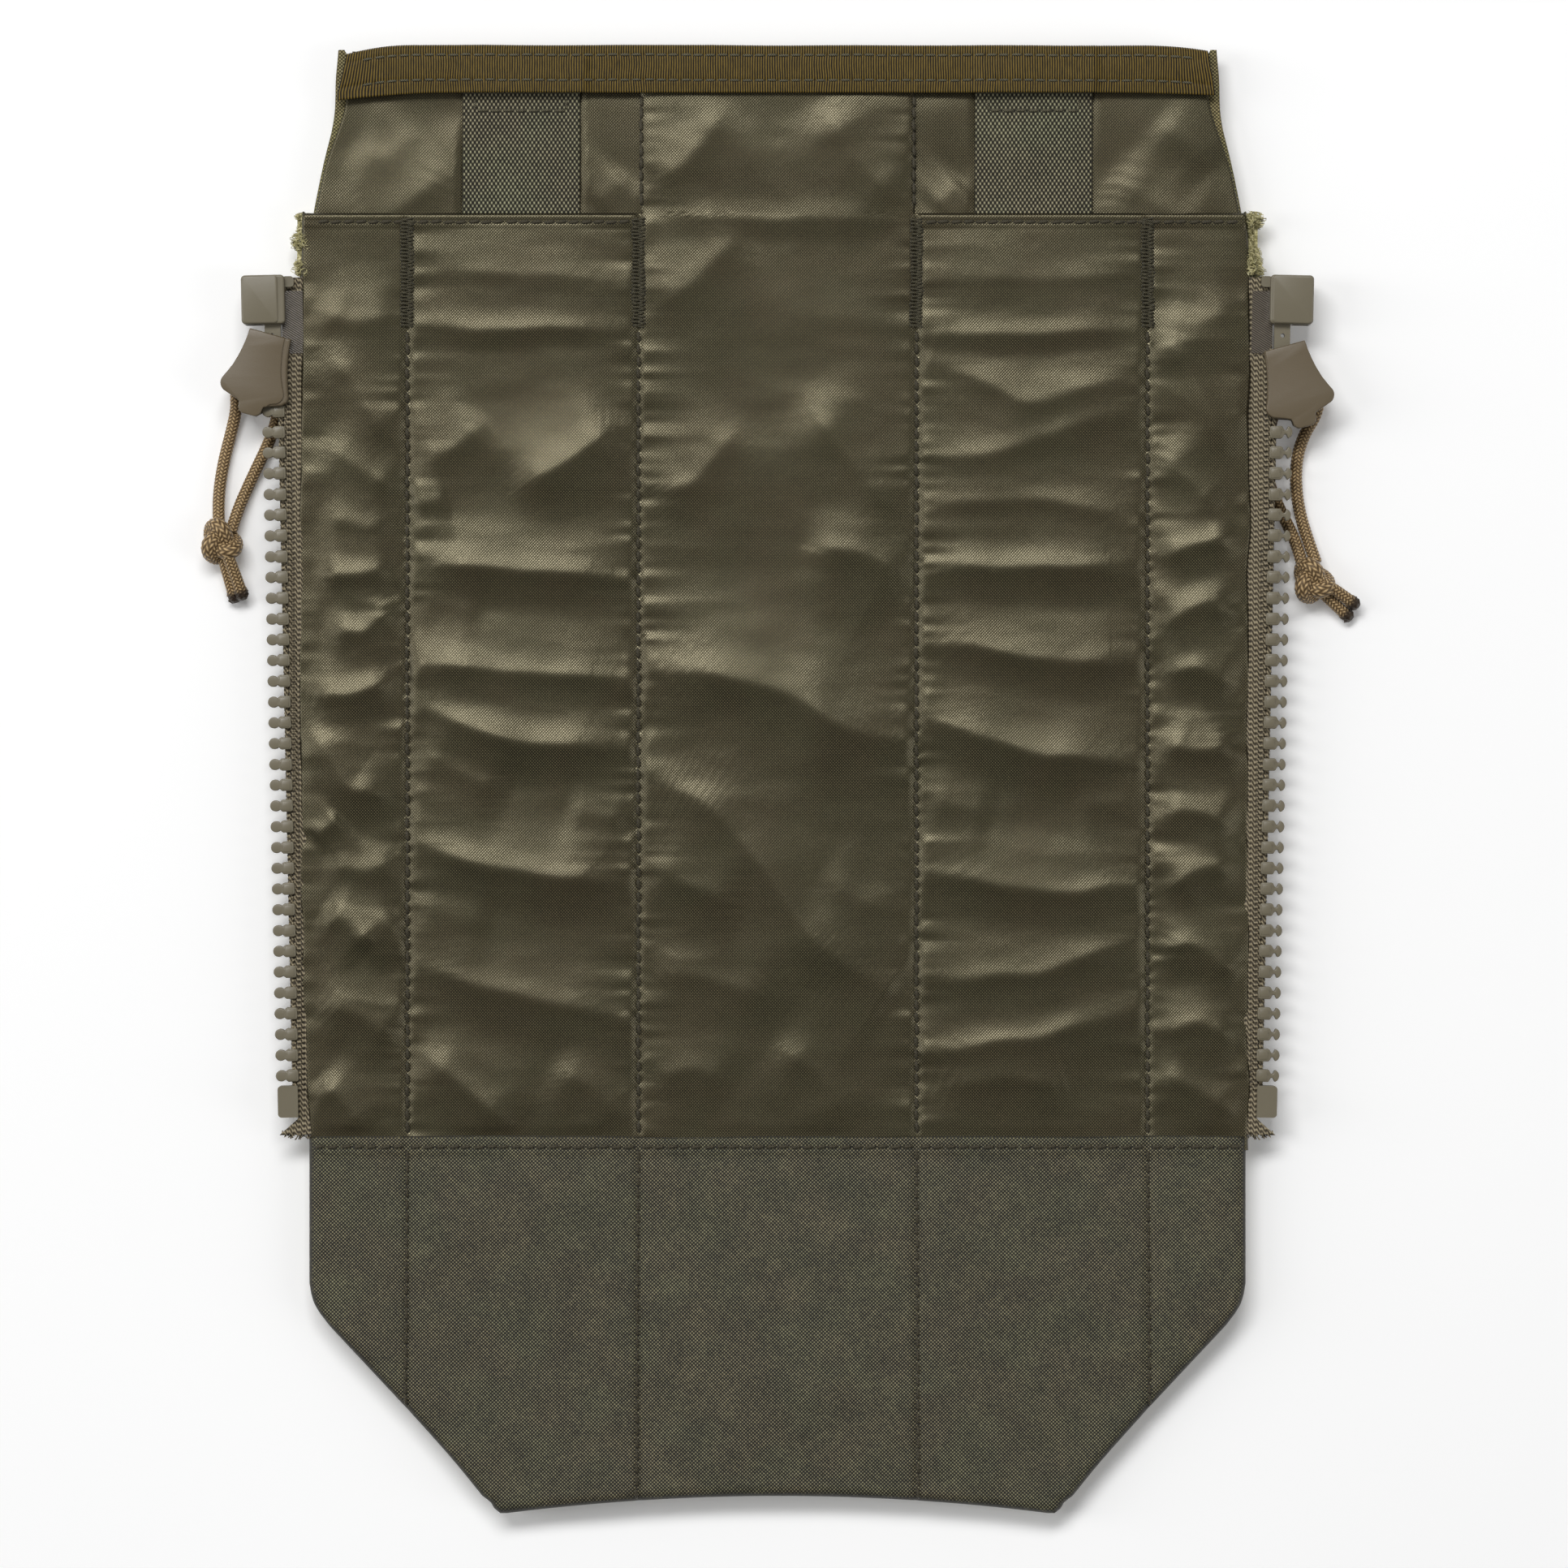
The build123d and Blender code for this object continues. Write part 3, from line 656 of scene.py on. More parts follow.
def liner_height(x, y):
    """Top of the rear liner: crowned between its seams, folded, and puckered beside them."""
    x, y = np.broadcast_arrays(np.asarray(x, float), np.asarray(y, float))
    edge = liner_side(y, np.sign(x))
    bounds = [-edge, *(np.full_like(x, seam) for seam in COLUMN_EDGES[1:-1]), edge]
    low, high = bounds[0], bounds[1]
    for a, b in zip(bounds[1:], bounds[2:]):
        inside = x >= a
        low, high = np.where(inside, a, low), np.where(inside, b, high)
    t = np.clip((x - low) / np.maximum(high - low, 1e-6), 0, 1)
    outer, sleeves = np.abs(x) > SEAMS[1], np.abs(x) > SEAMS[0]
    crown = np.where(outer, 0.55, np.where(sleeves, 0.6, 0.5))
    z = LINER_Z + crown * np.sqrt(np.clip(4 * t * (1 - t), 0, 1))
    d_left, d_right = x - low, high - x
    free = smooth(np.minimum(d_left, d_right) / 3.0 + 0.15)
    z = z + 2.1 * raise_folds(LINER_FOLDS, x, y) * (0.3 + 0.7 * free)
    z = z + 0.08 * rough2(x / 24, y / 9, 21) + 0.015 * rough2(x / 4, y / 3, 31)
    z = z + np.where(outer, 0.4, 0.16) * (0.5 - np.abs(noise2(x / 15 + 0.3 * y / 15, y / 11, 35)))
    for d, seed in ((d_left, 41), (d_right, 47)):
        column = np.round(np.where(d is d_left, low, high) / 20)
        pucker = noise2(column * 7.3, y / 2.7, seed) + 0.6 * noise2(column * 3.1 + 5, y / 1.5, seed + 2)
        reach = 2.9 + 2.2 * noise2(column * 1.7, y / 6, seed + 3)
        z = z + 0.46 * pucker * np.exp(-d / np.maximum(reach, 0.8)) * (1 - np.exp(-d / 0.7))
    beads = 0.75 + 0.25 * np.cos(2 * math.pi * y / STITCH_PITCH)
    z = z - 0.5 * beads * bell(off_seams(x), 0.8)
    # the folded hem of the sleeve mouths is double and flat
    hem = smooth((y - (HEM_Y - 2.9)) / 0.5) * sleeves
    z = blend(z, 7.95, 0.7 * hem)
    z = z - 0.22 * bell(np.abs(y - HEM_ROW), 0.35) * sleeves
    z = z - rolled(HEM_Y - y, 0.8) * (np.abs(x) > SEAMS[0] + 0.01) * (y <= HEM_Y)
    # outer edges, folded under on the zipper tape
    z = z - np.where(y < HEM_Y, rolled(edge - np.abs(x), 0.8), 0)
    # the tongue's own edges above the hem, and where the band overlaps at the bottom
    z = z - np.where(y > HEM_Y, rolled(SEAMS[0] - np.abs(x), 0.5), 0)
    z = blend(z, np.minimum(z, 7.45), smooth((BAND_Y + 2.5 - y) / 2.5))
    return blend(z, np.minimum(z, 8.0), smooth((y - FOOT_Y + 3) / 3))


def make_liner():
    wide = side(0)
    across = lines([-wide, *COLUMN_EDGES[1:-1], wide], 0.62, (0.12, 0.3, 0.5, 0.8))
    up = lines([BAND_Y - 3.0, BAND_Y, HEM_Y - 3, HEM_Y, CLOTH_TOP], 0.62, (0.1,))
    up = np.unique(np.concatenate([up, HEM_Y - np.array([0.08, 0.2, 0.35, 0.5, 0.7])]))
    line, y = np.meshgrid(across, up)
    beyond = np.abs(line) > SEAMS[1]
    edge = liner_side(y, np.sign(line))
    stretch = SEAMS[1] + (np.abs(line) - SEAMS[1]) * (edge - SEAMS[1]) / (wide - SEAMS[1])
    x = np.where(beyond, np.sign(line) * stretch, line)
    # the seams wander a little, as sewn ones do
    by_seams = (np.abs(np.abs(line) - 55) < 30) * (y < HEM_Y - 3)
    x = x + 0.35 * noise2(y / 38, 3, 53) * by_seams
    z = liner_height(x, y)
    inside = (y[:-1, :-1] + y[1:, 1:] < 2 * HEM_Y) | (np.abs(line[:-1, :-1] + line[1:, 1:]) < 2 * SEAMS[0])
    o = sheet_piece("sleeve_liner", x, y, z, coated, 0.4, keep=inside, replaces=("sleeve_panel",),
                    slot="coated_cloth")
    sleeves, tongue = (2 * wide) * (HEM_Y - BAND_Y + 3), 2 * SEAMS[0] * (CLOTH_TOP - HEM_Y)
    (sleeves + tongue) * MM**2


# ---- the other cloths
def shell_side(y):
    """The front cloth runs a little past the lining at its top corners and stays inside the lower band."""
    return side(y) + 1.5 * smooth((y - 138) / 14) - 0.45 * smooth((BAND_Y + 2 - y) / 3)


LINING_FOLDS = [(crest_line(points), *sizes) for points, *sizes in (
    ([(-97, 118), (-88, 117), (-78, 124), (-69, 132)], 1.0, 5.5, 4.5),
    ([(-92, 136), (-84, 133), (-76, 140)], 0.5, 5.0, 4.0),
    ([(-40, 122), (-32, 130)], 0.5, 5.0, 4.0),
    ([(33, 122), (40, 128)], 0.7, 4.0, 4.0),
    ([(70, 131), (79, 124), (90, 118), (96, 116)], 0.9, 5.5, 4.5),
    ([(80, 142), (88, 136), (94, 130)], 0.5, 5.0, 4.0))]


def lining_height(x, y):
    """Top of the lining: folded, and flat under the straps and in the sleeves."""
    in_strap = smooth((STRAP_HALF + 1.0 - np.abs(np.abs(x) - STRAP_X)) / 1.2)
    z = LINING_Z + 0.34 * rough2(x / 17, y / 13, 61, 2) * (1 - in_strap)
    folds = raise_folds(LINING_FOLDS, *np.broadcast_arrays(x, y), edges=LINING_EDGES)
    z = blend(z + 1.1 * folds * (1 - in_strap), HIDDEN_Z, in_strap)
    return blend(z, HIDDEN_Z, smooth((HEM_Y - 1 - y) / 4))


def make_lining():
    across = lines([-1, -0.68, -0.42, 0.42, 0.68, 1], 0.009, (0.001, 0.003, 0.006))
    up = np.concatenate([lines([BAND_Y, 112], 4.0), lines([112.6, CLOTH_TOP], 0.7)])
    s, y = np.meshgrid(across, up)
    margin = 0.5 + 1.1 * smooth((y - 128) / 16)
    half = side(y) - margin
    x = s * half
    z = lining_height(x, y) - rolled(half - np.abs(x), 0.4)
    o = sheet_piece("inner_lining_cloth", x, y, z, coated, 0.45, replaces=("inner_lining",),
                    slot="coated_cloth")


BAND_ROLL = 2.3


def arched(x, row):
    """Height of a grid row, bent to the arc of the bottom edge over the lowest 20 mm."""
    return row + (bottom(x) - BOTTOM_Y) * smooth((-138 - row) / 19.5)


def from_edge(x, y, half, slope, inset=0.0):
    """Distance inside the side edge, whose half width changes by slope along y, and the bottom edge."""
    return np.minimum((half - np.abs(x)) / np.sqrt(1 + slope**2), y - bottom(x) - inset)


def band_height(x, y):
    """Top of the lower band: drawn in along its stitching, with two low swellings."""
    z = BAND_Z + 0.3 * rough2(x / 30, y / 22, 71) + 0.03 * rough2(x / 3, y / 3, 75)
    stitched = off_seams(x)
    z = z - 0.45 * bell(stitched, 0.6) - 0.2 * np.exp(-stitched / 3.0)
    z = z + 0.1 * noise2(np.round(x / 25) * 3.3, y / 3.0, 77) * np.exp(-stitched / 2.4)
    z = z - 0.2 * bell(np.abs(y - BAND_ROW), 0.4)
    z = z + 0.35 * smooth((y - (BAND_Y - 4.2)) / 1.2)
    z = z + 0.5 * np.exp(-(((x + 4) / 26) ** 2 + ((y + 128) / 12) ** 2))
    return z + 0.35 * np.exp(-(((x - 34) / 16) ** 2 + ((y + 100) / 12) ** 2))


def on_band(x, y):
    """Top of the lower band, down its rolled edge too."""
    d = from_edge(x, y, side(y), side(y + 0.5) - side(y - 0.5))
    return band_height(x, y) - rolled(np.maximum(d, 0), BAND_ROLL)


def make_band():
    across = lines([-1, 1], 0.0075, (0.001, 0.0025, 0.005, 0.009, 0.014, 0.02, 0.026))
    up = lines([BOTTOM_Y, BAND_Y], 0.75, (0.1, 0.3, 0.6, 1.0, 1.5))
    s, row = np.meshgrid(across, up)
    half = side(row)
    x = s * half
    y = arched(x, row) + (0.25 * noise2(x / 21, 2, 73)) * smooth((row - BAND_Y + 6) / 6)
    d = from_edge(x, y, half, np.gradient(side(up), up)[:, None])
    z = band_height(x, y) - rolled(np.maximum(d, 0), BAND_ROLL) - rolled(np.maximum(row.max() - row, 0), 0.6)
    o = sheet_piece("lower_band_cloth", x, y, z, band_cloth, 0.5, replaces=("lower_band",), slot="band_cloth")


STRIP_INNER = 96.5


def strip_height(x):
    """Top of the loop strip: flat on the front face, then up round the edge and out at the side seam."""
    reach = STRIP_INNER + np.array([-STRIP_INNER, -3, -0.6, 1.6, 3.2, 4.6, 12])
    return np.interp(np.abs(x), reach, [0.55, 0.55, 1.0, 3.0, 4.9, 5.2, 5.1])


def make_shell():
    """Front cloth as one closed form: a flat front that turns up to the seam all round."""
    across = lines([-1, 1], 0.012, (0.0015, 0.004, 0.008, 0.014, 0.022, 0.032, 0.044))
    top_row = TOP_Y - 1.0
    up = lines([BOTTOM_Y, top_row], 1.3, (0.15, 0.5, 1.0, 1.8, 2.8, 4.0))
    s, row = np.meshgrid(across, up)
    half = shell_side(row)
    x = s * half
    y = arched(x, row)
    # the top edge drops towards its two ends, under the binding
    y = y - 2.3 * smooth((row - 140) / 17) * np.clip((np.abs(x) - 76) / 17, 0, 1) ** 2
    y = y + 2.1 * smooth((np.abs(x) - 91.7) / 1.2) * smooth((row - 148) / 7)
    inset = 0.45
    y = y + inset * smooth((-150 - row) / 7)
    d = from_edge(x, y, half, np.gradient(shell_side(up), up)[:, None], inset)
    d = np.maximum(np.minimum(d, top_row - row + 0.6), 0)
    rim = 5.75 + 0.25 * smooth((y - 120) / 20) - 0.5 * smooth((BAND_Y + 2 - y) / 3)
    top = rim - rolled(d, 0.5)
    share = np.clip(1 - d / 5.2, 0, 1)
    low = (rim - 0.55) * share**1.6
    low = low + 0.12 * smooth((d - 5) / 8) * (rough2(x / 34, y / 26, 81) + 1)
    low = np.maximum(low, 2.75 * smooth((y - (FOOT_Y - 4)) / 4))
    # room for the loop strip, which lies on the front face
    strip_low, strip_high = box_mm("front_loop_strip")
    on_strip = smooth((y - strip_low.y + 1.3) / 1.3) * smooth((strip_high.y + 1.3 - y) / 1.3)
    low = np.maximum(low, (strip_height(x) + 0.12) * on_strip)
    low = np.minimum(low, top - 0.02)
    n = x.size
    faces = quads(*x.shape).reshape(-1, 4)
    i = np.arange(n).reshape(x.shape)
    ring = np.concatenate([i[0, :-1], i[:-1, -1], i[-1, :0:-1], i[:0:-1, 0]])
    walls = [(a, a + n, b + n, b) for a, b in zip(ring, np.roll(ring, -1))]
    verts = np.vstack([np.stack([x, y, z], -1).reshape(-1, 3) for z in (top, low)])
    o = piece("front_cloth", verts, [*faces, *(faces[:, ::-1] + n), *walls], shell_cloth,
              replaces=("front_shell",), slot="shell_cloth")


BULGES = ((-67.3, -41.0), (43.0, 68.2))
BINDING_ROWS = (2.4, 7.8)
REAR_POINTS, FRONT_Z = 26, 2.1


def binding_front(x):
    """How much the straps lift the binding."""
    lift = 0
    for a, b in BULGES:
        lift = lift + smooth((x - a + 1.5) / 2.4) * smooth((b + 1.5 - x) / 2.4)
    return lift * 0.75


def binding_top(x):
    """Top edge of the binding: its two ends drop a little."""
    end = np.clip((np.abs(x) - 78) / 14.5, 0, 1)
    return TOP_Y - 0.15 - np.where(x < 0, 1.9, 1.3) * end**2 + 0.12 * noise2(x / 16, 0, 83)


def binding_profile(x):
    """Points of the folded tape from its rear foot over the edge to its front foot, as (y, z)."""
    lift, top = binding_front(x), binding_top(x)
    foot = FOOT_Y - 0.1 - 1.6 * np.clip((np.abs(x) - 70) / 22, 0, 1) ** 2 * np.where(x < 0, 1.0, 0.35)
    y, z = [], []
    for t in np.linspace(0, 1, REAR_POINTS):
        h = foot + (top - 1.0 - foot) * t
        dip = sum(0.16 * bell(h - (top - drop), 0.3) for drop in BINDING_ROWS)
        y.append(h)
        z.append(TAPE_Z + lift * (1 - 0.45 * t) - 0.5 * t**3 - dip + 0.1 * noise2(x / 7, h / 4, 85))
    half = (z[-1] - FRONT_Z) / 2
    for a in np.linspace(0, math.pi, 12)[1:-1]:
        y.append(top - 1.0 + math.sin(a) ** 0.8)
        z.append(FRONT_Z + half + half * math.cos(a))
    for t in np.linspace(0, 1, 8):
        y.append(top - 1.0 + (foot - top + 1.0) * t)
        z.append(np.full_like(x, FRONT_Z))
    return np.array(y), np.array(z)


def make_binding():
    low, high = box_mm("top_binding")
    x = np.linspace(low.x, high.x, 1480)
    y, z = binding_profile(x)
    xs = np.broadcast_to(x, y.shape) + 0.12 * noise2(y / 3, x / 5, 87)
    lean = np.clip((y - FOOT_Y) / 10, 0, 1)
    xs = xs + np.where(x < 0, 2.2, -1.6) * np.clip((np.abs(x) - 84) / 8, 0, 1) * (lean - 0.8)
    rib = np.abs(np.sin(math.pi * x / 0.53))
    # rib height, which the tape's colour turns into painted shade in the grooves and a painted highlight on the ribs
    shade = np.broadcast_to(rib**0.8, y.shape)
    # ribs stand out from the rear and the front face
    dy, dz = np.gradient(y, axis=0), np.gradient(z, axis=0)
    size = np.sqrt(dy**2 + dz**2) + 1e-9
    y, z = y + dz / size * 0.09 * (rib - 0.6), z + dy / size * 0.09 * (rib - 0.6)
    o = sheet_piece("binding_tape", xs, y, z, binding_tape, 0.55, replaces=("top_binding",), slot="binding_tape",
                    shades={"shade": shade})


def strap_height(x, y, centre):
    d = np.maximum(STRAP_HALF - np.abs(x - centre), 0)
    z = STRAP_Z + 0.12 * noise2(x / 9, y / 11, 91) - 0.1 * ((x - centre) / STRAP_HALF) ** 2 - rolled(d, 0.35)
    return z + 0.5 * smooth((y - (FOOT_Y - 2.5)) / 3.5)


def make_straps():
    for name in SIDES:
        low, high = box_mm(f"strap_{name}")
        across = lines([low.x, high.x], 0.5, (0.06, 0.15, 0.3))
        up = np.concatenate([lines([low.y, 112], 3.0), lines([112.6, high.y - 0.6], 0.6)])
        x, y = np.meshgrid(across, up)
        x = x + 0.18 * noise2(y / 9, 0, 93)
        z = strap_height(x, y, (low.x + high.x) / 2)
        sheet_piece(f"strap_{name}_webbing", x, y, z, strap_cloth, 0.7, replaces=(f"strap_{name}",),
                    slot="strap_cloth")


# ---- stitching
STITCH_PITCH = 2.6


def stitch_row(soup, start, end, height, radius, seed, length=2.25, skew=0.0):
    """Separate stitches along a line: each rises from the cloth, lies on it and dives in again."""
    a, b = np.array(start, float), np.array(end, float)
    reach = np.linalg.norm(b - a)
    along = (b - a) / reach
    across = np.array([-along[1], along[0]])
    count = max(1, int(reach / STITCH_PITCH))
    random = np.random.RandomState(seed)
    u = np.linspace(-0.5, 0.5, 7)
    for k in range(count):
        middle = (k + 0.5) / count * reach + random.uniform(-0.12, 0.12)
        off = random.uniform(-0.07, 0.07)
        p = a + along * (middle + u * length)[:, None] + across * (off + skew * u)[:, None]
        z = height(p[:, 0], p[:, 1]) + radius * 0.75 - 0.42 * (2 * np.abs(u)) ** 4
        soup.add(*tube(np.column_stack([p, z]), radius * (1 - 0.45 * (2 * np.abs(u)) ** 5), 8))


def stitches(name, node, rows, material=thread):
    """One piece of stitching from rows of start, end, height and the other facts of stitch_row."""
    soup = Soup()
    for start, end, height, facts in rows:
        stitch_row(soup, start, end, height, **facts)
    soup.piece(name, material, replaces=(node,), slot="thread")


def on_binding(x, y):
    ys, zs = binding_profile(x)
    return np.array([np.interp(v, ys[:REAR_POINTS, i], zs[:REAR_POINTS, i]) for i, v in enumerate(y)])


def make_seams():
    top, rows = box_mm("sleeve_bartacks")[0].y - 1.0, []
    for sign in (-1, 1):
        for k, (seam, end) in enumerate(zip(SEAMS, (box_mm("sleeve_seams")[0].y, -134.6))):
            x = sign * seam
            rows += [((x, top), (x, BAND_Y + 0.6), liner_height, {"radius": 0.37, "skew": 0.3, "seed": k + 3}),
                     ((x, BAND_Y - 2.8), (x + sign * 0.4, end), on_band, {"radius": 0.36, "skew": 0.25, "seed": k + 7})]
    stitches("sleeve_seam_stitches", "sleeve_seams", rows)

    plain, rows = {"radius": 0.36, "skew": 0.2}, []
    for sign in (-1, 1):
        x = sign * 29.2
        rows += [((sign * 31.5, HEM_ROW), (sign * 98.6, HEM_ROW), liner_height, {**plain, "seed": 13}),
                 ((x, HEM_Y + 1.5), (x, FOOT_Y - 0.4), liner_height, {**plain, "seed": 15})]
    stitches("hem_stitches", "hem_stitching", rows)

    stops = [-100.0, *COLUMN_EDGES[1:-1], 100.0]
    stitches("band_stitches", "band_stitching", [
        ((a + 0.6, BAND_ROW), (b - 0.6, BAND_ROW), on_band, {**plain, "seed": 17}) for a, b in zip(stops, stops[1:])])

    half, rows = box_mm("binding_stitching")[1].x - 2.0, []
    for drop in BINDING_ROWS:
        for x in np.arange(-half, half - 1, 2.62):
            ends = [(v, float(binding_top(np.array([v]))[0]) - drop) for v in (x, x + STITCH_PITCH)]
            rows.append((*ends, on_binding, {"radius": 0.26, "length": 2.2, "seed": int(x * 3 + 900)}))
    stitches("binding_stitches", "binding_stitching", rows, binding_thread)

    row, rows = FOOT_Y - 3.8, []
    for sign in (-1, 1):
        x = sign * STRAP_X
        on_strap = functools.partial(strap_height, centre=x)
        rows += [((x - 9.6, row), (x + 9.6, row), on_strap, {"radius": 0.3, "seed": 23}),
                 ((x - 9.8, row - 1.2), (x - 9.9, row + 3.6), on_strap, {"radius": 0.2, "seed": 24}),
                 ((x + 9.8, row - 1.2), (x + 9.6, row + 3.6), on_strap, {"radius": 0.2, "seed": 25})]
    stitches("strap_stitches", "strap_stitching", rows, binding_thread)


def make_bartacks():
    """Dense zigzag of thread over each end of a sleeve seam."""
    low, high = box_mm("sleeve_bartacks")
    soup, random = Soup(), np.random.RandomState(5)
    u = np.linspace(-1, 1, 9)
    for centre in COLUMN_EDGES[1:-1]:
        for y in np.arange(low.y, high.y, 0.78):
            for way in (-1, 1):
                w = 1.2 + random.uniform(-0.28, 0.2)
                shift = 0.1 * noise2(y / 4, centre, 95)
                px = centre + shift + u * w
                py = y + way * u * 0.2 + (0.3 if way > 0 else 0) + random.uniform(-0.07, 0.07)
                base = float(np.mean(liner_height(np.array([centre - 1.6, centre + 1.6]), np.array([y, y]))))
                pz = base + 0.08 + 0.46 * np.abs(u) - 0.62 * np.abs(u) ** 6 + random.uniform(-0.07, 0.07)
                soup.add(*tube(np.column_stack([px, py, pz]), 0.14 + 0.1 * np.abs(u), 6))
    soup.piece("bartack_stitches", bartack_thread, replaces=("sleeve_bartacks",), slot="bartack_thread")


# ---- loop pile
def make_pile():
    """Strip of loop pile across the front face, with its fuzzy ends past both side edges."""
    low, high = box_mm("front_loop_strip")
    ear_low = 107.9
    xs = lines([-(high.x - 2.9), -STRIP_INNER, STRIP_INNER, high.x - 2.9], 1.4, (0.4, 0.8))
    xs = np.unique(np.concatenate([xs, *(sign * (STRIP_INNER + np.arange(-4, 7, 0.5)) for sign in (-1, 1))]))
    x, y = np.meshgrid(xs, lines([low.y, ear_low, high.y], 1.0))
    z = strip_height(xs) + (0.04 + 0.08 * smooth((np.abs(x) - STRIP_INNER) / 3)) * rough2(x / 5, y / 5, 97)
    kept = np.abs(x[:-1, :-1] + x[1:, 1:]) / 2 < STRIP_INNER + 4.2
    kept |= y[:-1, :-1] + y[1:, 1:] > 2 * ear_low
    sheet_piece("loop_strip_base", x, y, z, pile, 0.5, keep=kept, replaces=("front_loop_strip",), slot="loop_pile")
    soup, random = Soup(), np.random.RandomState(11)

    def loop(foot, out, size):
        # a fourth number is drawn and left unused; the later draws come after it
        lean = random.uniform(-0.7, 0.7, 4)[:3]
        across = np.cross(out, lean)
        across /= max(np.linalg.norm(across), 1e-6)
        t = np.linspace(-1, 1, 6)
        top = np.array(out) + 0.35 * lean
        soup.add(*tube(foot + np.outer(t * size * 0.45, across) + np.outer((1 - t**2) * size, top), 0.075, 3))

    def row_y():
        return random.uniform(low.y + 0.4, high.y - 0.4)

    for _ in range(5200):
        foot = (random.uniform(-STRIP_INNER + 1, STRIP_INNER - 1), row_y(), 0.2)
        loop(foot, (0, 0, -0.22), random.uniform(0.6, 0.9))
    for sign in (-1, 1):
        for _ in range(1500):
            x, face = high.x - 3.6 + 0.9 * random.uniform(0, 1), random.rand()
            y = random.uniform(ear_low + 0.2, high.y - 0.3)
            ragged = 0.95 + 0.6 * noise2(y / 2.3, sign * 4.0, 99)
            if face < 0.4:
                z, out = 5.15, (0, 0, 1.0)
            elif face < 0.6:
                z, out = 4.6, (0, 0, -1.0)
            else:
                x, z, out = high.x - 3.0, random.uniform(4.6, 5.2), (sign, 0, 0.2)
            loop((sign * x, y, z), out, random.uniform(0.4, 2.3) * min(ragged, 1.25))
        for _ in range(700):
            u = random.uniform(0, 1)
            foot = (sign * (STRIP_INNER - 0.4 + 3.2 * u), row_y(), 0.9 + 3.6 * u)
            loop(foot, (sign * 0.7, 0, -0.5), random.uniform(0.4, 0.8))
    soup.piece("loop_strip_pile", pile, slot="loop_pile")


# ---- zipper
LEAN = math.radians(1.2)
TIP = (110.3, 72.0, 6.8)
PITCH, COUNT, FIRST_Y = 4.45, 35, 15.6


def placed(points, name):
    """From the chain's frame (x = 0 at the tooth tips, y up the chain) to the panel's."""
    p = np.asarray(points, float)
    c, s = math.cos(-LEAN), math.sin(-LEAN)
    x = TIP[0] + c * p[:, 0] - s * p[:, 1]
    y = TIP[1] + s * p[:, 0] + c * p[:, 1]
    return np.column_stack([SIDES[name] * x, y, TIP[2] + p[:, 2]])


def facing(faces, name):
    """Mirrored pieces need their faces turned round."""
    return [tuple(f[::-1]) for f in faces] if name == "left" else faces


def add_placed(soup, verts, faces, name):
    soup.add(placed(verts, name), facing(faces, name))


def rounded(outline, low, high, bevel, steps=3):
    """Outline carried between two levels, with its rim rounded over at both ends."""
    p = np.asarray(outline, float)
    before, after = np.roll(p, 1, 0), np.roll(p, -1, 0)
    e1, e2 = p - before, after - p
    e1 /= np.linalg.norm(e1, axis=1)[:, None]
    e2 /= np.linalg.norm(e2, axis=1)[:, None]
    normal = np.column_stack([e1[:, 1] + e2[:, 1], -e1[:, 0] - e2[:, 0]])
    normal /= np.maximum(np.linalg.norm(normal, axis=1)[:, None], 1e-9)
    levels = []
    for k in range(steps + 1):
        a = k / steps * math.pi / 2
        levels.append((bevel * (1 - math.sin(a)), low + bevel * (1 - math.cos(a))))
    levels += [(inset, high - (z - low)) for inset, z in levels[::-1]]
    rings = [np.column_stack([p - normal * inset, np.full(len(p), z)]) for inset, z in levels]
    verts = np.vstack(rings)
    n = len(p)
    faces = [tuple(f) for f in quads(len(levels), n, True).reshape(-1, 4)]
    faces += [tuple(range(n - 1, -1, -1)), tuple(range(len(verts) - n, len(verts)))]
    return verts, faces


def mirrored(points):
    """Outline from its lower half, given from the tape side to the tip."""
    return points + [(x, -y) for x, y in points[::-1] if abs(y) > 1e-6]


def arc(centre, radius, start, stop, count=8):
    angles = np.radians(np.linspace(start, stop, count))
    return [(centre[0] + radius * math.cos(a), centre[1] + radius * math.sin(a)) for a in angles]


TOOTH = {
    "right": mirrored([(-4.9, -1.0), (-4.6, -1.32), (-2.45, -1.34), (-2.2, -1.2), (-2.0, -0.85), (-1.8, -0.5),
                       (-1.55, -0.42), (-1.3, -0.55), (-1.12, -0.95), (-0.98, -1.22), (-0.78, -1.25), (-0.48, -1.05),
                       (-0.22, -0.75), (-0.06, -0.38), (0.0, 0.0)]),
    "left": mirrored([(-4.9, -0.95), (-4.65, -1.28), (-2.75, -1.32), (-2.4, -1.12), (-2.2, -0.86), (-2.02, -0.88)]
                     + arc((-1.2, 0), 1.2, 222, 360, 12)),
}


def make_teeth(name):
    soup, random = Soup(), np.random.RandomState(31)
    # raised pad on each face of a tooth's block
    pad = [(-4.45, -0.95), (-2.75, -0.95), (-2.55, -0.75), (-2.55, 0.75), (-2.75, 0.95), (-4.45, 0.95)]
    for k in range(COUNT):
        y0 = FIRST_Y - k * PITCH
        verts, faces = rounded(TOOTH[name], -1.42, 1.42, 0.22)
        # the head is a little lower than the block
        head = smooth((verts[:, 0] + 2.3) / 0.9)
        verts[:, 2] *= 1 - 0.12 * head
        turn = random.uniform(-0.02, 0.02)
        p = np.column_stack([verts[:, 0] - verts[:, 1] * turn, verts[:, 1] + verts[:, 0] * turn + y0, verts[:, 2]])
        add_placed(soup, p, faces, name)
        for z0, z1 in ((1.3, 1.52), (-1.52, -1.3)):
            verts, faces = rounded(pad, z0, z1, 0.08, 2)
            verts[:, 1] += y0
            add_placed(soup, verts, faces, name)
    soup.piece(f"zip_teeth_{name}_moulded", zip_plastic, replaces=(f"zip_teeth_{name}",), slot="zip_plastic")


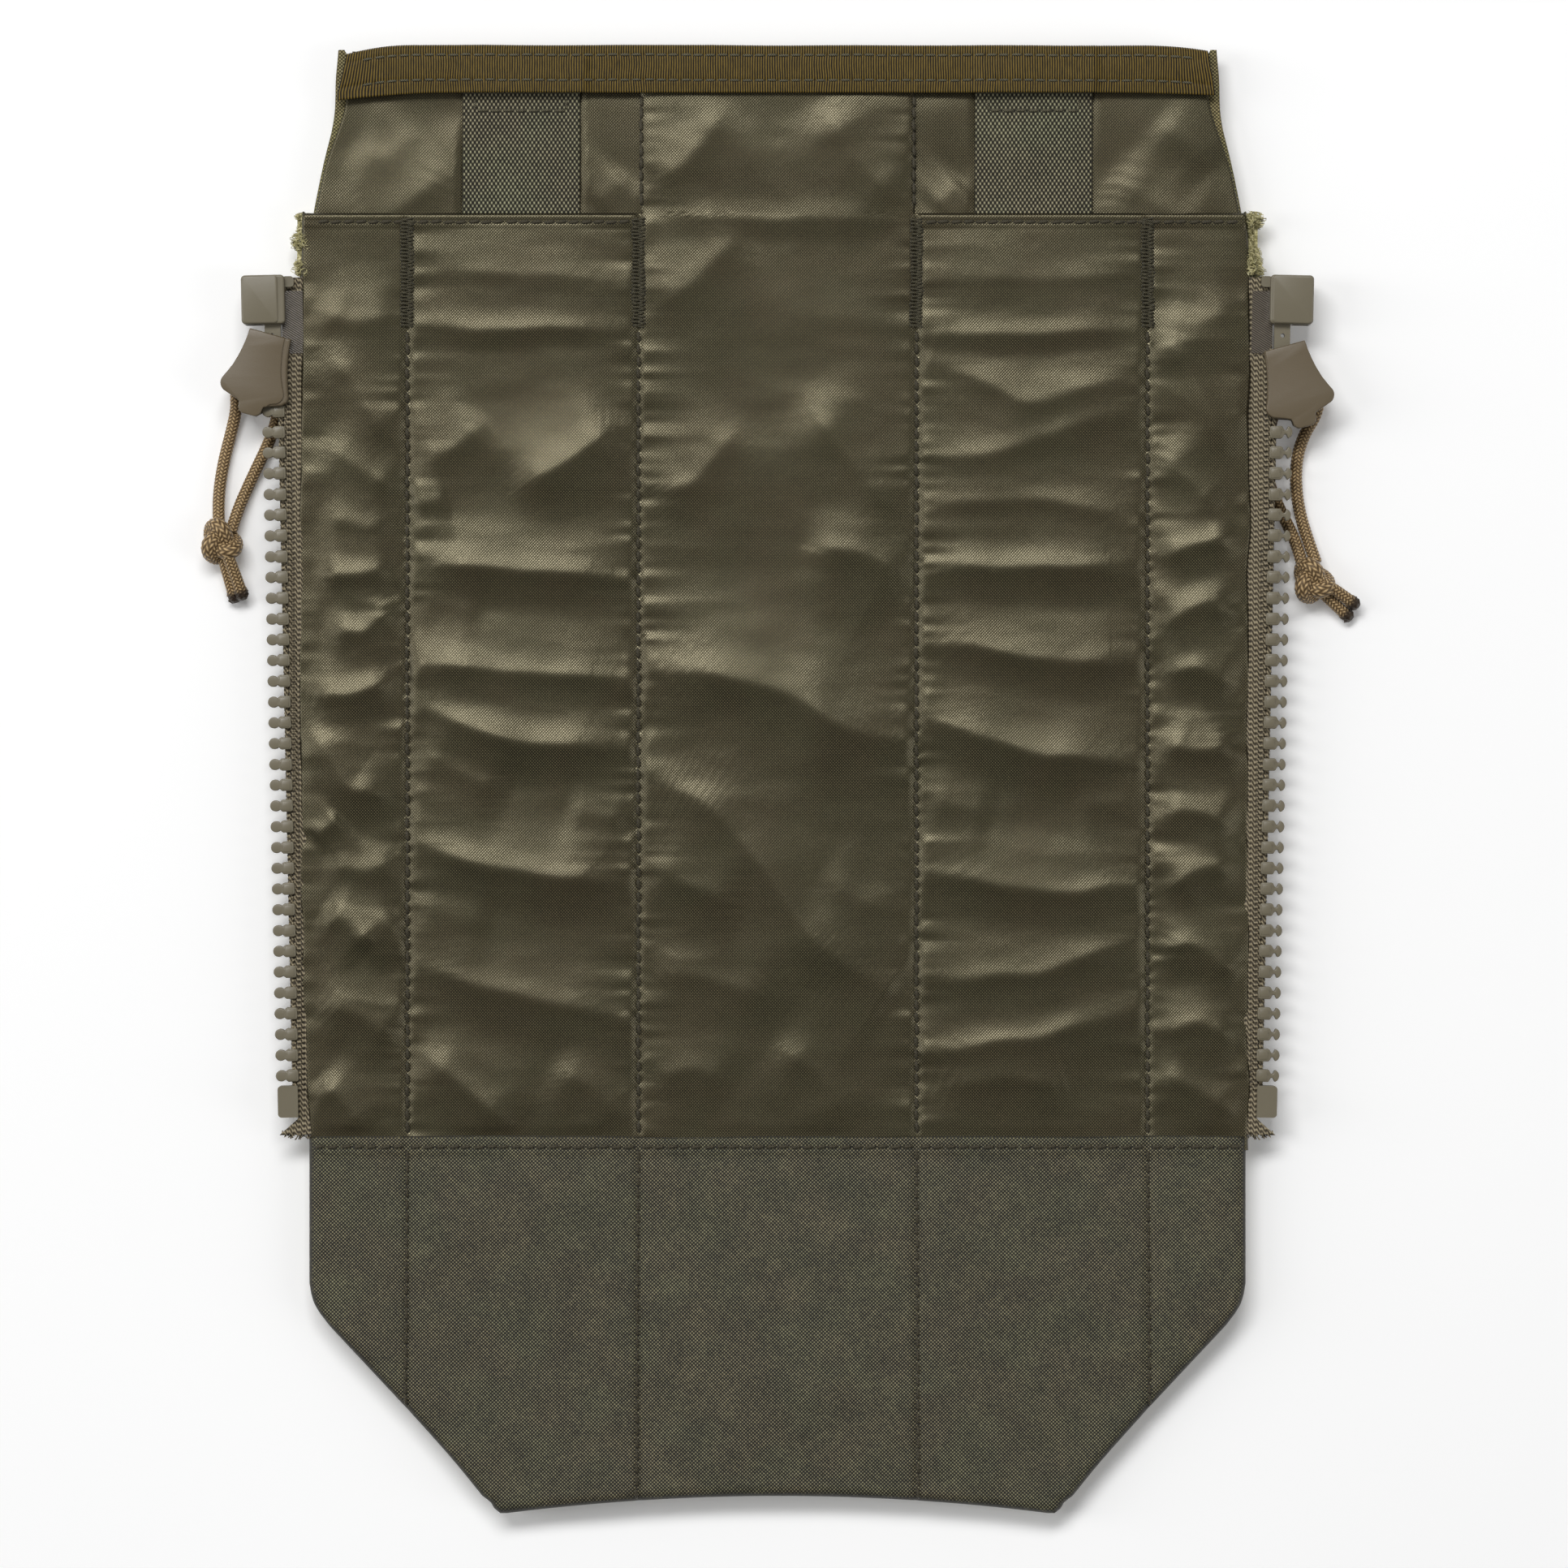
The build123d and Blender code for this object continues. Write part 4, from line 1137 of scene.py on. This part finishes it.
def make_edge_cord(name):
    """Twisted cord that the teeth are moulded round."""
    soup = Soup()
    y = np.arange(FIRST_Y + 1.0, FIRST_Y - (COUNT - 1) * PITCH - 4.0, -0.22)
    for k in range(3):
        a = y * 2.6 + k * 2 * math.pi / 3
        p = np.column_stack([-4.05 + 0.32 * np.cos(a), y, 0.32 * np.sin(a)])
        soup.add(*tube(placed(p, name), 0.36, 6))
    soup.piece(f"edge_cord_{name}", tape_material, replaces=(f"tape_edge_cord_{name}",), slot="zip_tape")


def make_tape(name):
    low_y, high_y, inner, outer = -148.4, 35.3, -15.0, -4.7
    across = lines([inner, outer], 0.4, (0.08, 0.2))
    up = lines([low_y, high_y], 0.55)
    x, y = np.meshgrid(across, up)
    # the tape's foot is cut on the slant beyond the end stop
    x = x + np.clip((-144.8 - y) / 3.6, 0, 1) * (x - inner) / (outer - inner) * 4.2
    z = 0.36 + 0.06 * rough2(x / 3, y / 3, 101) + 0.25 * smooth((x + 6.0) / 1.0) - 0.2 * smooth((y - 20) / 3)
    z = z - 0.9 * smooth((-7.6 - x) / 2.2) * smooth((18 - y) / 4)
    z = z - rolled(np.minimum(x - inner, 9), 0.2)
    verts = placed(np.column_stack([x.ravel(), y.ravel(), z.ravel()]), name)
    o = piece(f"zip_tape_{name}_knit", verts, facing(quads(*x.shape).reshape(-1, 4), name), tape_material,
              replaces=(f"zip_tape_{name}",), slot="zip_tape")
    thicken(o, 0.75)
    # loops of yarn that grip the edge cord, four to each tooth, and frayed ends at the foot
    soup, random = Soup(), np.random.RandomState(61)
    u = np.linspace(0, 1, 6)
    for y0 in np.arange(FIRST_Y + 1.6, FIRST_Y - COUNT * PITCH + 1.0, -PITCH / 4):
        for face in (1, -1):
            p = np.column_stack([-6.1 + 1.45 * u, y0 + 0.08 * np.sin(u * 3) + random.uniform(-0.06, 0.06),
                                 face * (0.42 + 0.3 * np.sin(u * math.pi))])
            soup.add(*tube(placed(p, name), 0.27, 6))
    u = np.linspace(0, 1, 5)
    for _ in range(46):
        x0 = random.uniform(-9.5, -0.9)
        y0 = low_y + max(0, (x0 + 5.0)) * 0.15
        p = np.column_stack([x0 + random.uniform(-0.6, 0.9) * u**2, y0 + 0.4 - random.uniform(0.7, 1.6) * u,
                             random.uniform(-0.3, 0.4) + random.uniform(-0.5, 0.3) * u])
        soup.add(*tube(placed(p, name), 0.12, 4))
    soup.piece(f"tape_loops_{name}", tape_material, slot="zip_tape")


def finish_moulded(name):
    """CAD pieces whose shape is right get their finish."""
    for node, material in (("zip_box", zip_plastic), ("zip_pin", zip_plastic), ("zip_stop", zip_plastic),
                           ("tape_film", film), ("slider_body", slider_paint), ("slider_bail", slider_paint)):
        o = nodes[f"{node}_{name}"]
        o.data.materials.clear()
        o.data.materials.append(material)
        m = o.modifiers.new("soft edges", "BEVEL")
        m.width, m.segments, m.limit_method, m.angle_limit = 0.16 * MM, 2, "ANGLE", math.radians(35)
        m.harden_normals = False


def make_moulded_faces(name):
    """Raised face plates of the retainer box and of the slider, with rounded rims."""
    step = 1.35 if name == "left" else 0.35
    low_y, high_y = 25.45, 35.65
    box_face = [(step - 5.4, low_y), (3.65, low_y), (3.65, high_y), (step - 5.4, high_y)]
    face = []
    for (cx, cy), start in zip(box_face, (180, 270, 0, 90)):
        inward = (0.8 if cx < 0 else -0.8, 0.8 if cy < 30 else -0.8)
        face += arc((cx + inward[0], cy + inward[1]), 0.8, start, start + 90, 5)
    soup = Soup()
    add_placed(soup, *rounded(face, 2.9, 3.5, 0.3), name)
    soup.piece(f"zip_box_face_{name}", zip_plastic, slot="zip_plastic")

    flank = [(4.6, -0.1), (4.72, -2.0), (4.98, -4.0), (5.42, -6.2), (6.05, -8.4), (6.9, -10.4)]
    lobe = arc((5.6, -12.4), 2.05, 30, -62, 9)
    tab = [(5.2, -14.7), (3.4, -15.3), (2.75, -15.6), (2.6, -16.1), (2.55, -16.8), (2.2, -17.5), (1.4, -17.95)]
    outer = flank + lobe + tab
    inner = [(step - x, y) if y > -15 else (-x, y) for x, y in outer[::-1]]
    verts, faces = rounded((outer + inner)[::-1], 2.35, 3.05, 0.28)
    turn = math.radians(15.5) + LEAN
    c, s = math.cos(turn), math.sin(turn)
    rest_y = {"left": 23.2, "right": 20.6}[name]
    turned = np.column_stack([c * verts[:, 0] - s * verts[:, 1] - 2.35, s * verts[:, 0] + c * verts[:, 1] + rest_y,
                              verts[:, 2]])
    soup = Soup()
    add_placed(soup, turned, faces, name)
    soup.piece(f"slider_face_{name}", slider_paint, slot="slider_paint", body=f"slider_{name}")


# ---- pull cords
CORD_D = 2.6
# braid: ring spacing and points of a column, length and relief of a yarn
BRAID_STEP, PER_COLUMN, YARN_PITCH, RELIEF = 0.13, 5, 0.8, 0.16
ROUTES = {
    "left_outer": [
        (-110.8, 86.7, 2.6), (-113.1, 87.3, 2.6), (-115.5, 86.1, 2.5), (-116.4, 83.3, 2.2),
        (-116.3, 79.4, 1.6), (-117.5, 74.4, 1.3), (-119.0, 68.6, 1.4), (-120.0, 62.6, 1.6),
        (-120.2, 57.4, 2.2), (-119.9, 53.2, 3.2)],
    "left_inner": [
        (-110.8, 86.7, 2.6), (-108.5, 86.1, 2.6), (-107.0, 83.7, 2.5), (-107.3, 80.7, 2.1),
        (-107.7, 77.0, 1.5), (-109.3, 72.4, 1.3), (-111.8, 67.2, 1.4), (-114.3, 61.8, 1.6),
        (-116.2, 57.2, 2.2), (-117.4, 53.0, 3.2)],
    "right_outer": [
        (110.8, 84.1, 2.6), (113.1, 84.7, 2.6), (115.5, 83.5, 2.5), (116.4, 81.0, 2.2),
        (115.6, 77.8, 1.7), (113.3, 74.2, 1.3), (111.7, 69.4, 1.4), (111.4, 63.6, 1.3),
        (112.2, 57.4, 1.4), (113.9, 51.6, 2.0), (115.7, 46.4, 3.2)],
    "right_inner": [
        (110.8, 84.1, 2.6), (108.5, 83.5, 2.6), (107.0, 81.1, 2.5), (106.6, 78.2, 2.1),
        (105.5, 74.2, 1.5), (105.0, 69.2, 1.3), (105.5, 64.0, 1.4), (107.4, 59.2, 1.3),
        (109.7, 54.6, 1.5), (111.6, 50.4, 2.2), (112.7, 46.2, 3.2)],
}
KNOTS = {"left": (-119.6, 50.8, 3.7), "right": (114.9, 42.4, 3.7)}
KNOT_TURN = {"left": 20.0, "right": 25.0}
TAILS = {
    "left": [[(-119.4, 49.0, 3.4), (-118.3, 44.6, 2.4), (-116.6, 38.6, 1.4)],
             [(-118.3, 49.0, 5.4), (-116.6, 44.4, 4.2), (-114.9, 39.2, 2.8)]],
    "right": [[(115.2, 41.8, 3.4), (118.8, 38.4, 2.4), (122.9, 34.8, 1.4)],
              [(116.2, 42.6, 5.0), (119.9, 40.6, 4.2), (124.2, 37.4, 2.6)]],
}


def along_route(points):
    """Points of the NURBS line of a route, in millimetres."""
    curve = bpy.data.curves.new("route", "CURVE")
    curve.dimensions = "3D"
    curve.resolution_u = 24
    spline = curve.splines.new("NURBS")
    spline.points.add(len(points) - 1)
    for target, p in zip(spline.points, points):
        target.co = (*(v * MM for v in p), 1)
    spline.order_u = 3
    spline.use_endpoint_u = True
    o = bpy.data.objects.new("route", curve)
    mesh = bpy.data.meshes.new_from_object(o)
    line = np.array([v.co for v in mesh.vertices]) / MM
    bpy.data.objects.remove(o)
    bpy.data.meshes.remove(mesh)
    bpy.data.curves.remove(curve)
    return line


def evenly(line, step):
    """Same line with points a step apart."""
    run = np.concatenate([[0], np.cumsum(np.linalg.norm(np.diff(line, axis=0), axis=1))])
    at = np.linspace(0, run[-1], max(3, int(run[-1] / step)))
    return np.column_stack([np.interp(at, run, line[:, i]) for i in range(3)]), at


def braided(line, radius, columns=10, closed=False, melted=0.0):
    """Braided sleeve round a line: columns of slanted yarns, leaning left and right in turn."""
    p, at = evenly(line, BRAID_STEP)
    if closed:
        p, at = p[:-1], at[:-1]
    t = np.gradient(p, axis=0)
    if closed:
        t = np.roll(p, -1, 0) - np.roll(p, 1, 0)
    t /= np.linalg.norm(t, axis=1)[:, None]
    a = np.zeros_like(p)
    a[0] = np.cross((0, 0, 1.0), t[0])
    a[0] /= np.linalg.norm(a[0])
    for k in range(1, len(p)):
        v = a[k - 1] - t[k] * (a[k - 1] @ t[k])
        a[k] = v / np.linalg.norm(v)
    b = np.cross(t, a)
    sides = columns * PER_COLUMN
    theta = np.arange(sides) / sides * 2 * math.pi
    column = np.arange(sides) // PER_COLUMN
    local = ((np.arange(sides) % PER_COLUMN) + 0.5) / PER_COLUMN * 2 - 1
    lean = np.where(column % 2 == 0, 1, -1) * 0.32
    phase = at[:, None] / YARN_PITCH + lean[None, :] * local[None, :] + (column % 2)[None, :] * 0.5
    high = (0.5 + 0.5 * np.cos(2 * math.pi * phase)) * (1 - 0.75 * local[None, :] ** 2)
    burn = np.zeros_like(high)
    r = radius - RELIEF * 0.6 + RELIEF * high
    if melted:
        left = at[-1] - at[:, None]
        burn = np.broadcast_to(1 - smooth((left - melted * 0.5) / melted), high.shape)
        lump = rough2(np.broadcast_to(theta * 1.6, high.shape) + 3, left / 0.6 + 0 * theta, 111)
        r = r + burn * (0.16 * lump + 0.12)
    ring = np.cos(theta)[None, :, None] * a[:, None] + np.sin(theta)[None, :, None] * b[:, None]
    verts = (p[:, None] + ring * r[..., None]).reshape(-1, 3)
    # the yarn relief goes to the cord's colour as painted shade in the hollows and a painted highlight on the yarns
    shade, burn = high.ravel(), burn.ravel()
    rows = len(p)
    faces = [tuple(f) for f in quads(rows, sides, True, ring=closed).reshape(-1, 4)]
    if closed:
        return verts, faces, shade, burn
    # both ends close: the melted one with a dished face
    for row in (0, rows - 1):
        dish = melted * 0.45 if row else 0
        base, rim = len(verts), np.arange(sides) + row * sides
        inner = p[row] + (verts[rim] - p[row]) * 0.55 + t[row] * dish
        centre = p[row] - t[row] * dish * 1.3
        verts = np.vstack([verts, inner, centre[None]])
        shade = np.concatenate([shade, np.full(sides + 1, 0.2)])
        burn = np.concatenate([burn, np.full(sides + 1, 1.0 if (melted and row) else 0.0)])
        for k in range(sides):
            n = (k + 1) % sides
            quad = (rim[k], rim[n], base + n, base + k)
            cap = (base + k, base + n, base + sides)
            faces += [quad[::-1], cap[::-1]] if row == 0 else [quad, cap]
    return verts, faces, shade, burn


def cord_piece(name, parts, **facts):
    soup = Soup("shade", "burn")
    for part in parts:
        soup.add(*part)
    return soup.piece(name, cord_material, slot="cord", **facts)


def make_cords():
    for name in SIDES:
        body = f"pull_{name}"
        centre, turn = KNOTS[name], math.radians(KNOT_TURN[name])
        # overhand knot: a pulled-down trefoil
        t = np.linspace(0, 2 * math.pi, 241)
        u = (np.sin(t) + 2 * np.sin(2 * t)) * 0.98
        v = -1.2 * (np.cos(t) - 2 * np.cos(2 * t))
        w = -1.55 * np.sin(3 * t)
        c, s = math.cos(turn), math.sin(turn)
        line = np.column_stack([centre[0] + c * u - s * v, centre[1] + s * u + c * v, centre[2] + w])
        knot = cord_piece(f"knot_{name}", [braided(line, 1.85, 14, closed=True)],
                          replaces=(f"pull_knot_{name}",), body=body)
        tails = cord_piece(f"tails_{name}", [braided(along_route(p), CORD_D / 2, melted=1.6) for p in TAILS[name]],
                           replaces=(f"cord_tails_{name}",), body=body)
        for strand in ("outer", "inner"):
            key = f"{name}_{strand}"
            line = along_route(ROUTES[key])
            o = cord_piece(f"cord_{key}", [braided(line, CORD_D / 2)], replaces=(f"pull_cord_{key}",), body=body)


for make in (make_cords, make_shell, make_lining, make_straps, make_liner, make_band, make_binding, make_seams,
             make_bartacks, make_pile):
    make()
for zip_side in SIDES:
    for make in (make_teeth, make_edge_cord, make_tape, finish_moulded, make_moulded_faces):
        make(zip_side)

floor = bpy.data.objects.new("floor", bpy.data.meshes.new("floor"))
corners = [(x * FLOOR_HALF, y * FLOOR_HALF, FLOOR_Z) for x, y in ((-1, -1), (1, -1), (1, 1), (-1, 1))]
floor.data.from_pydata(corners, [], [(0, 1, 2, 3)])
floor.data.materials.append(floor_surface())
bpy.context.scene.collection.objects.link(floor)
